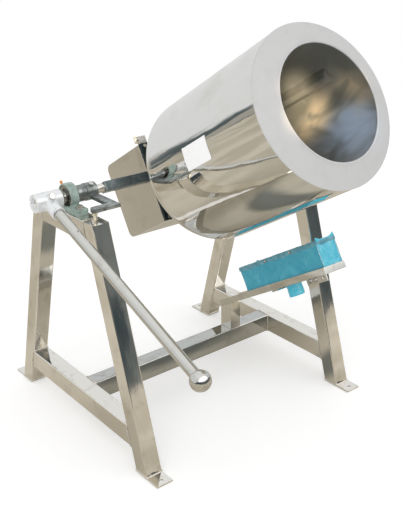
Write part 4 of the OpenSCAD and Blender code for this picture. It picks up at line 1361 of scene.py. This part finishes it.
    def folds(self) -> None:
        """Builds the film's standing folds: their height is two bell curves and a ripple."""
        maker = MeshMaker("box_film_folds")
        low = self.lid_top - self.fold_foot
        corners = [(self.left, self.front), (self.right, self.front), (self.right, self.back)]
        step, share = np.array(self.fold_profile).T
        for start, stop, (left, right) in zip(corners, corners[1:], self.fold_ends):
            run = np.linspace(0.0, 1.0, 90)
            ahead = np.subtract(stop, start)
            length = math.hypot(*ahead)
            away = np.array([ahead[1], -ahead[0]]) / length
            middle = start + ahead * run[:, None]
            near, far = run * length / self.fold_reach[0], (1 - run) * length / self.fold_reach[1]
            flat = np.column_stack([middle, 0 * run])
            rise = (self.fold_rise + left * np.exp(-near ** 2) + right * np.exp(-far ** 2)
                    + ripple(flat, 130, 0.0022, 7.0))
            sway = 0.0022 + ripple(flat, 90, 0.0014, 2.0)
            side = middle[:, None] + away * (step + sway[:, None] * share)[..., None]
            cloud = np.dstack([side, low + rise[:, None] * share])
            maker.grid(TRAY.world(cloud), caps=True)
        # Beads down the two front corners, near-white: a painted highlight along the folded film.
        heights = np.linspace(self.floor + 0.003, self.lid_low, 60)
        for x, y in corners[:2]:
            bead = np.column_stack([np.full(60, x), np.full(60, y), heights])
            bead[:, 0] += ripple(bead, 140, 0.0012, 3.0)
            bead[:, 1] += ripple(bead, 120, 0.0010, 9.0) + 0.0002
            maker.sweep(TRAY.world(bead), 0.0010 + np.abs(ripple(bead, 210, 0.0009, 5.0)), 6,
                        closed=False, slot=1)
        paint = self.painter.material
        # The folds take the brighter copy of the film, which is painted light.
        finishes = [paint("film_bright", -PAN_TILT), paint("film_crease", -PAN_TILT)]
        self.own(maker.build(finishes, 60), "film_blue")

    def spigot_film(self) -> None:
        """Builds the film-wrapped spigot below the tray: a turned profile, creased outwards."""
        place = Place(tuple(TRAY.world(self.spigot_at)), TRAY.across, TRAY.along, TRAY.up)
        maker = MeshMaker("box_spigot_film")
        maker.lathe(self.spigot, place, 72)
        local = place.local(maker.points[0])
        radial = local * np.array([1, 1, 0])
        spread = np.linalg.norm(radial, axis=1)
        crease = ripple(local * np.array([1, 1, 0.45]), 120, 0.0009, 6.0)
        push = np.where(spread > self.spigot_wall, crease, 0)
        radial /= np.maximum(spread, 1e-6)[:, None]
        local = local + radial * np.clip(push, -0.001, 0.0003)[:, None]
        maker.points[0] = place.world(local)
        # The spigot's film is the brighter copy, which is painted light.
        self.own(maker.build([self.painter.material("film_bright", -PAN_TILT)], 60),
                 "film_blue", "box_spigot")


@dataclass
class Lever(Assembly):
    """The tilt shafts with the lever, the collar and the stop arm.

    Args:
        rod: Radius of the rod.
        rod_run: Where its plain length starts and ends, from the tilt shaft.
        rod_root: Radius and length of each point of its chamfered end in the hub.
        rod_tip: Radius and length of each point of its end in the ball.
        peg_at: Distance of its peg from the tilt shaft.
        ball: Radius of the ball.
        ball_at: Distance of the ball's middle.
        flat: Height of the ball's flat below its middle.
        bore: Radius of the ball's bore.
        peg: Radius and height over the rod's axis of each point round the peg.
    """

    body: ClassVar[str] = "tilting_drive"
    kept: ClassVar[dict[str, tuple]] = {
        "left_tilt_shaft": ("shaft_steel", 0.0008, 0.0, True),
        "right_tilt_shaft": ("shaft_steel", 0.0008, 0.0, True),
        "left_carrier_bar": ("bar_steel", 0.0014, 0.0, True),
        "right_carrier_bar": ("bar_steel", 0.0014, 0.0, True),
        "shaft_collar": ("dark_steel", 0.0012), "stop_arm": ("dark_steel", 0.001),
        "clamp_bolts": ("fastener_steel", 0.0006)}
    rod: float = 0.01395
    rod_run: tuple[float, float] = (0.04, 0.655)
    rod_root: Profile = ((0.0004, 0.0275), (0.0125, 0.0275), (0.0139, 0.0290))
    rod_tip: Profile = ((0.01385, 0.6606), (0.0004, 0.6606))
    peg_at: float = 0.152
    ball: float = 0.025
    ball_at: float = 0.680
    flat: float = -0.0192
    bore: float = 0.0141
    peg: Profile = ((0.0003, 0.012), (0.0021, 0.012), (0.0021, 0.0150), (0.0016, 0.0154),
                    (0.0003, 0.0155))

    def build(self) -> None:
        """Builds the pieces on the tilt shaft."""
        self.keep_all()
        self.cast("lever_hub", "hub_cast", "hub_cast", 0.0009, 8)
        self.lever_rod()
        self.knob()

    def lever_rod(self) -> None:
        """Builds the lever's rod, a turned profile, with its small peg near the hub."""
        straight = np.linspace(*self.rod_run, 60)
        profile = np.concatenate([
            self.rod_root, np.column_stack([np.full_like(straight, self.rod), straight]),
            self.rod_tip])
        maker = MeshMaker("lever_rod_bar")
        maker.lathe(profile, LEVER, 72)
        out = Place(tuple(LEVER.world((0, 0, self.peg_at))), LEVER.across, LEVER.up, LEVER.along)
        maker.lathe(self.peg, out, 24, [1] * len(self.peg))
        paint = self.painter.material
        self.own(maker.build([paint("lever_steel", -math.pi + LEVER_DIP), paint("dark_steel")], 50),
                 "shaft_steel", "lever_rod")

    def knob(self) -> None:
        """Builds the ball: a turned arc, with a flat and a chamfer where the rod enters."""
        radius, start, inside = self.ball, self.flat, self.flat + 0.006
        turn = np.linspace(math.asin(start / radius), math.pi / 2 - 0.012, 60)
        profile = np.concatenate([
            [(self.bore, inside), (self.bore, start + 0.0006), (self.bore + 0.0007, start)],
            radius * np.column_stack([np.cos(turn), np.sin(turn)]),
            [(0.0003, radius), (0.0003, inside)]])
        maker = MeshMaker("ball_knob_ball")
        maker.lathe(profile + (0, self.ball_at), LEVER, 96)
        self.own(maker.build([self.painter.material("lever_steel")], 50), "shaft_steel",
                 "ball_knob")


@dataclass
class Drive(Assembly):
    """The drive behind the pan: mounting plate, cover, bearings and gears."""

    body: ClassVar[str] = "tilting_drive"
    kept: ClassVar[dict[str, tuple]] = {
        "mounting_plate": ("plate_steel", 0.0008, -PAN_TILT),
        "plate_lug": ("fastener_steel", 0.0008),
        "wing_screw": ("zinc_yellow", 0.0005), "plate_screws": ("fastener_steel", 0.0005),
        "drive_cover": ("drive_paint", 0.0007, -PAN_TILT),
        "pan_bearing_housing": ("cast_grey", 0.001),
        "pan_bearing_bolts": ("fastener_steel", 0.0005),
        "pan_bearing_outers": ("bearing_steel", 0.0004),
        "pan_bearing_inners": ("bearing_steel", 0.0004), "pan_bearing_balls": ("bearing_steel", 0),
        "gear_case": ("cast_grey", 0.001), "motor_flange": ("bar_steel", 0.0006),
        "gear_pin": ("shaft_steel", 0.0003), "motor_case": ("bar_steel", 0.0005),
        "output_shaft": ("shaft_steel", 0.0006), "output_gear": ("gear_steel", 0.0001),
        "middle_gear": ("gear_steel", 0.0001), "motor_rotor": ("gear_steel", 0.0001)}

    def build(self) -> None:
        """Builds the drive's pieces."""
        self.keep_all()


@dataclass
class Pan(Assembly):
    """The pan with its ring, its flights and its hub.

    Args:
        out: Its outer radius.
        length: Its length from the rim to the back.
        corner: Radius of its back corner.
        wall: Thickness of its sheet.
        mouth: Radius of its mouth.
        rise: How far the ring cones out.
        rim_weld: Distance from the rim's radius and length of each point of the weld there.
        roll: Radius of the mouth's rolled edge.
        roll_at: Its middle, from the mouth's radius and the ring's front.
        roll_turns: Where the rolled edge starts and ends, in half turns.
        label_turns: The label's upper and lower edge round the pan, in degrees.
        label_ends: Its ends along the pan.
        label_out: Its distance from the pan's axis.
        label_thick: Its thickness.
        label_lift: How far its corners have come off.
    """

    body: ClassVar[str] = "pan"
    kept: ClassVar[dict[str, tuple]] = {
        "mixing_flights": ("pan_inner_steel", 0.0012, -PAN_TILT), "pan_hub": ("dark_steel", 0.001),
        "hub_studs": ("fastener_steel", 0.0005)}
    out: float = 0.202
    length: float = 0.514
    corner: float = 0.045
    wall: float = 0.002
    mouth: float = 0.143
    rise: float = 0.0235
    rim_weld: Profile = ((0.0006, 0.0014), (0.0007, -0.0004), (0.0001, -0.0018))
    roll: float = 0.003
    roll_at: tuple[float, float] = (0.0027, 0.00135)
    roll_turns: tuple[float, float] = (-0.35, -1.45)
    label_turns: tuple[float, float] = (170.3, 186.9)
    label_ends: tuple[float, float] = (0.1995, 0.3030)
    label_out: float = 0.20245
    label_thick: float = 0.00018
    label_lift: float = 0.0011

    def build(self) -> None:
        """Builds the pan's pieces."""
        self.shell()
        self.ring()
        self.keep_all()
        self.label()

    def outline(self, inset: float) -> np.ndarray:
        """Gives the pan's profile: a straight wall, a quarter circle and the flat back.

        Args:
            inset: How far inside the outer skin it runs.

        Returns:
            Radius and length of each point, from the rim to the axis.
        """
        middle, turn_at = self.out - self.corner, self.length - self.corner
        wall, back = np.linspace(0.0, turn_at, 40), np.linspace(middle, 0.0006, 12)[1:]
        turn, radius = np.linspace(0, math.pi / 2, 18)[1:], self.corner - inset
        return np.concatenate([
            np.column_stack([np.full_like(wall, self.out - inset), wall]),
            np.column_stack([middle + radius * np.cos(turn), turn_at + radius * np.sin(turn)]),
            np.column_stack([back, np.full_like(back, self.length - inset)])])

    def shell(self) -> None:
        """Builds the pan's wall, turned from its two outlines, satin inside."""
        outer, inner = self.outline(0.0), self.outline(self.wall)[::-1]
        maker = MeshMaker("pan_shell_wall")
        sides = [0] * len(outer) + [1] * len(inner)
        maker.lathe(np.concatenate([outer, inner]), PAN, 192, sides)
        paint = self.painter.material
        finishes = [paint("pan_steel", -PAN_TILT), paint("pan_inner_steel", -PAN_TILT)]
        self.own(maker.build(finishes, 50), "pan_steel", "pan_shell")

    def ring(self) -> None:
        """Builds the front ring: a turned cone with a weld at the rim and a rolled mouth."""
        rim, mouth, rise, wall = self.out, self.mouth, self.rise, self.wall
        slope = rise / (rim - mouth)
        cone = np.linspace(rim - 0.0015, mouth + 0.006, 12)
        turn = np.linspace(*np.multiply(self.roll_turns, math.pi), 16)
        inside = np.linspace(mouth + 0.008, rim - 0.002, 8)
        front = np.concatenate([
            np.array(self.rim_weld) + (rim, 0),
            np.column_stack([cone, -wall - (rim - cone) * slope * (rise - wall) / rise]),
            self.roll * np.column_stack([np.cos(turn), np.sin(turn)])
            + (mouth + self.roll_at[0], self.roll_at[1] - rise)])
        under = np.concatenate([
            [(mouth + 0.004, 0.0048 - rise)],
            np.column_stack([inside, (inside - rim) * slope]), [(rim - 0.002, 0.0014)]])
        maker = MeshMaker("pan_lip_ring")
        sides = [0] * len(front) + [1] * len(under)
        maker.lathe(np.concatenate([front, under]), PAN, 192, sides)
        paint = self.painter.material
        finishes = [paint("ring_steel", -PAN_TILT), paint("pan_inner_steel", -PAN_TILT)]
        self.own(maker.build(finishes, 50), "pan_steel", "pan_lip")

    def label(self) -> None:
        """Builds the blank label: a patch of a cylinder, whose corners lift.

        The lift grows with the product of the distances from the label's two middle lines.
        """
        rows, columns = 26, 40
        across = np.linspace(*np.radians(self.label_turns), rows)
        along = np.linspace(*self.label_ends, columns)
        angle, length = np.meshgrid(across, along, indexing="ij")
        u = np.linspace(-1, 1, rows)[:, None]
        v = np.linspace(-1, 1, columns)[None, :]
        lift = self.label_lift * np.clip(np.abs(u * v) - 0.72, 0, 1) / 0.28
        middle = self.label_out + lift
        maker = MeshMaker("blank_label")
        rims = []
        for radius in (middle, middle - self.label_thick):
            sheet = PAN.world(np.stack([radius * np.cos(angle), radius * np.sin(angle), length],
                                       axis=-1))
            maker.grid(sheet, close_columns=False)
            rims.append(np.concatenate([sheet[0], sheet[1:, -1], sheet[-1, -2::-1],
                                        sheet[-2:0:-1, 0]]))
        maker.grid(np.array(rims))
        self.own(maker.build([self.painter.material("label_paper", -PAN_TILT)], 60), "pan_steel")


@dataclass(frozen=True)
class Lamp:
    """A lamp of the studio, which polished metal doesn't mirror.

    Args:
        name: Its name.
        spot: Its place.
        aim: What it points at.
        size: Its diameter, or the radius of a spot lamp.
        power: Its power in watts.
        cone: Half the angle of a spot lamp's cone in degrees, or 0 for a disk.
        tone: Its colour.
    """

    name: str
    spot: Vec3
    aim: Vec3
    size: float
    power: float
    cone: float = 0.0
    tone: Rgb = (1.0, 1.0, 1.0)

    def build(self) -> None:
        """Hangs the lamp."""
        data = bpy.data.lights.new(self.name, "SPOT" if self.cone else "AREA")
        data.energy, data.color = self.power, self.tone
        if self.cone:
            data.spot_size, data.spot_blend = math.radians(2 * self.cone), 1.0
            data.shadow_soft_size = self.size
        else:
            data.shape, data.size = "DISK", self.size
        lamp = placed(self.name, data)
        lamp.location = self.spot
        aim = Vector(self.aim) - lamp.location
        lamp.rotation_euler = aim.to_track_quat("-Z", "Y").to_euler()
        lamp.visible_glossy = False
        lamp.visible_camera = self.cone > 0


@dataclass
class Studio:
    """The floor, the lamps, the world and the camera.

    Args:
        floor_reach: Half the floor's side.
        floor_drop: How far it lies below the feet, so that they don't flicker in it.
        middle: What the disk lamps point at.
        mouth_lamp: Where the small spot lamps hang.
        eye: The camera's place.
        right: Its right-hand direction.
        up: Its upward direction.
        ahead: The direction that it looks in.
        lens: Its focal length in millimetres, on a sensor 36 wide.
        shift: How far the picture is shifted across and up.
    """

    floor_reach: float = 4.0
    floor_drop: float = 0.0006
    middle: Vec3 = (0, -0.1, 0.6)
    mouth_lamp: Vec3 = (-1.35, -1.90, 1.42)
    eye: Vec3 = (-1.38326, -1.8769, 1.40229)
    right: Vec3 = (0.77633813, -0.63022628, -0.01067463)
    up: Vec3 = (0.24536448, 0.28656362, 0.92610883)
    ahead: Vec3 = (0.58059916, 0.72159277, -0.37710541)
    lens: float = 58.926
    shift: tuple[float, float] = (-0.0245, -0.01786)

    def build(self) -> None:
        """Builds the studio."""
        self.world()
        self.floor()
        self.lamps()
        self.camera()
        bpy.context.scene.view_settings.view_transform = "Standard"

    @staticmethod
    def world() -> None:
        """A pale sky: white to the camera, and a soft studio to polished metal."""
        world = bpy.data.worlds.new("studio")
        bpy.context.scene.world = world
        graph = Graph.fresh(world)
        way = graph.add("TexCoord").outputs["Generated"]
        parts = graph.add("SeparateXYZ", {0: way})
        height, back = parts.outputs[2], graph.band(parts.outputs[1], -0.45, 0.2)
        cloud = graph.noise(way, 3.1, 3.0, 0.6)
        torn = graph.noise(way, 11.0, 4.0, 0.8)
        waver = graph.blend(cloud, 0.12, torn, 0.09)
        ragged = graph.math("ADD", height, graph.math("SUBTRACT", waver, 0.105))
        line = graph.math("SUBTRACT", ragged, graph.band(back, 0.0, 1.0, 0.24, -0.055))
        front_dark = graph.mix(graph.band(cloud, 0.44, 0.62), srgb(58, 68, 72), srgb(120, 124, 122))
        back_dark = graph.mix(graph.band(torn, 0.42, 0.58), srgb(88, 97, 99), srgb(166, 163, 154))
        wall = graph.mix(back, srgb(206, 209, 210), srgb(228, 230, 230))
        aside = graph.math("ADD", graph.band(parts.outputs[0], -0.26, -0.46),
                           graph.band(parts.outputs[0], 0.64, 0.80))
        dark = graph.mix(back, front_dark, graph.mix(aside, wall, back_dark))
        tone = graph.mix(graph.band(line, -0.02, 0.05), dark, wall)
        tone = graph.mix(graph.band(height, 0.5, 0.85), tone, srgb(246, 247, 247))
        sky = graph.math("MULTIPLY", graph.band(height, 0.3, 0.5),
                         graph.band(parts.outputs[1], -0.3, -0.6))
        tone = graph.mix(sky, tone, (2.4, 2.35, 2.3))
        soft = graph.mix(graph.band(height, -0.2, 0.9), (0.80, 0.79, 0.77), (0.92, 0.92, 0.92))
        rays = graph.add("LightPath")
        seen = graph.mix(rays.outputs["Is Glossy Ray"], soft, tone)
        seen = graph.mix(rays.outputs["Is Camera Ray"], seen, (1.0, 1.0, 1.0))
        light = graph.add("Background", {"Color": seen, "Strength": 1.0})
        graph.link(light.outputs[0], graph.add("OutputWorld"))

    def floor(self) -> None:
        """A plain pale floor that keeps the object's shadow; polished metal sees it taupe, with a
        painted shadow under the machine.
        """
        size, drop = self.floor_reach, self.floor_drop
        mesh = bpy.data.meshes.new("floor")
        mesh.from_pydata([(-size, -size, -drop), (size, -size, -drop), (size, size, -drop),
                          (-size, size, -drop)], [], [(0, 1, 2, 3)])
        floor = placed("floor", mesh)
        material = bpy.data.materials.new("floor")
        graph = Graph.fresh(material)
        matt = graph.add("BsdfDiffuse", {"Color": (0.80, 0.80, 0.80, 1.0)})
        glow = graph.add("Emission", {"Color": (0.30, 0.30, 0.30, 1.0), "Strength": 1.0})
        pale = graph.add("AddShader", {0: matt.outputs[0], 1: glow.outputs[0]})
        place = graph.add("TexCoord").outputs["Object"]
        cloud = graph.noise(place, 1.7, 2.0)
        taupe = graph.mix(graph.band(cloud, 0.4, 0.6), srgb(188, 181, 165), srgb(208, 201, 186))
        # Painted shadow: the floor that metal mirrors is darker in a patch under the machine.
        near = graph.add("Mapping", {"Vector": place, "Location": (-0.13, 2.88, 0.0),
                                     "Scale": (2.6, 12.0, 0.0)})
        reach = graph.add("VectorMath", {0: near.outputs[0]}, operation="LENGTH").outputs["Value"]
        taupe = graph.mix(graph.band(reach, 0.6, 1.25), srgb(132, 134, 128), taupe)
        shown = graph.add("BsdfDiffuse", {"Color": taupe})
        rays = graph.add("LightPath")
        both = graph.add("MixShader", {0: rays.outputs["Is Glossy Ray"], 1: pale.outputs[0],
                                       2: shown.outputs[0]})
        graph.link(both.outputs[0], graph.add("OutputMaterial"))
        mesh.materials.append(material)

    def lamps(self) -> None:
        """Two disk lamps that shape the object, and small spot lamps into the pan's mouth."""
        Lamp("key", (-2.4, -2.0, 3.4), self.middle, 2.4, 26.0).build()
        Lamp("fill", (2.6, -2.6, 2.2), self.middle, 2.6, 10.0).build()
        for name, across, above, cone, power, tone in (
                ("mouth_warm", -0.074, -0.012, 1.9, 380.0, (1.0, 0.77, 0.48)),
                ("mouth_deep", -0.080, 0.048, 1.3, 420.0, (1.0, 0.78, 0.54)),
                ("mouth_rim", 0.094, 0.030, 1.1, 110.0, (1.0, 0.72, 0.42)),
                ("mouth_cool", 0.048, -0.070, 2.2, 110.0, (0.55, 0.76, 1.0))):
            aim = PAN.world((across, above, -Pan.rise))
            Lamp(name, self.mouth_lamp, tuple(aim), 0.02, power, cone, tone).build()

    def camera(self) -> None:
        """The camera at the photograph's viewpoint."""
        data = bpy.data.cameras.new("camera")
        data.sensor_fit, data.sensor_width = "AUTO", 36.0
        data.lens = self.lens
        data.shift_x, data.shift_y = self.shift
        data.clip_end = 60.0
        camera = placed("camera", data)
        back = [-part for part in self.ahead]
        camera.matrix_world = Matrix([*zip(self.right, self.up, back, self.eye), (0, 0, 0, 1)])
        bpy.context.scene.camera = camera


def main() -> None:
    """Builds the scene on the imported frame."""
    logging.basicConfig(level=logging.INFO)
    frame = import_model()
    painter = Painter()
    for kind in (Stand, TrayAndBox, Lever, Drive, Pan):
        assembly = kind(frame["nodes"], painter)
        assembly.build()
        for piece in assembly.made:
            LOG.info("%s: %s", kind.__name__, piece)
    Studio().build()
    bpy.context.view_layer.update()


if __name__ == "__main__":
    main()
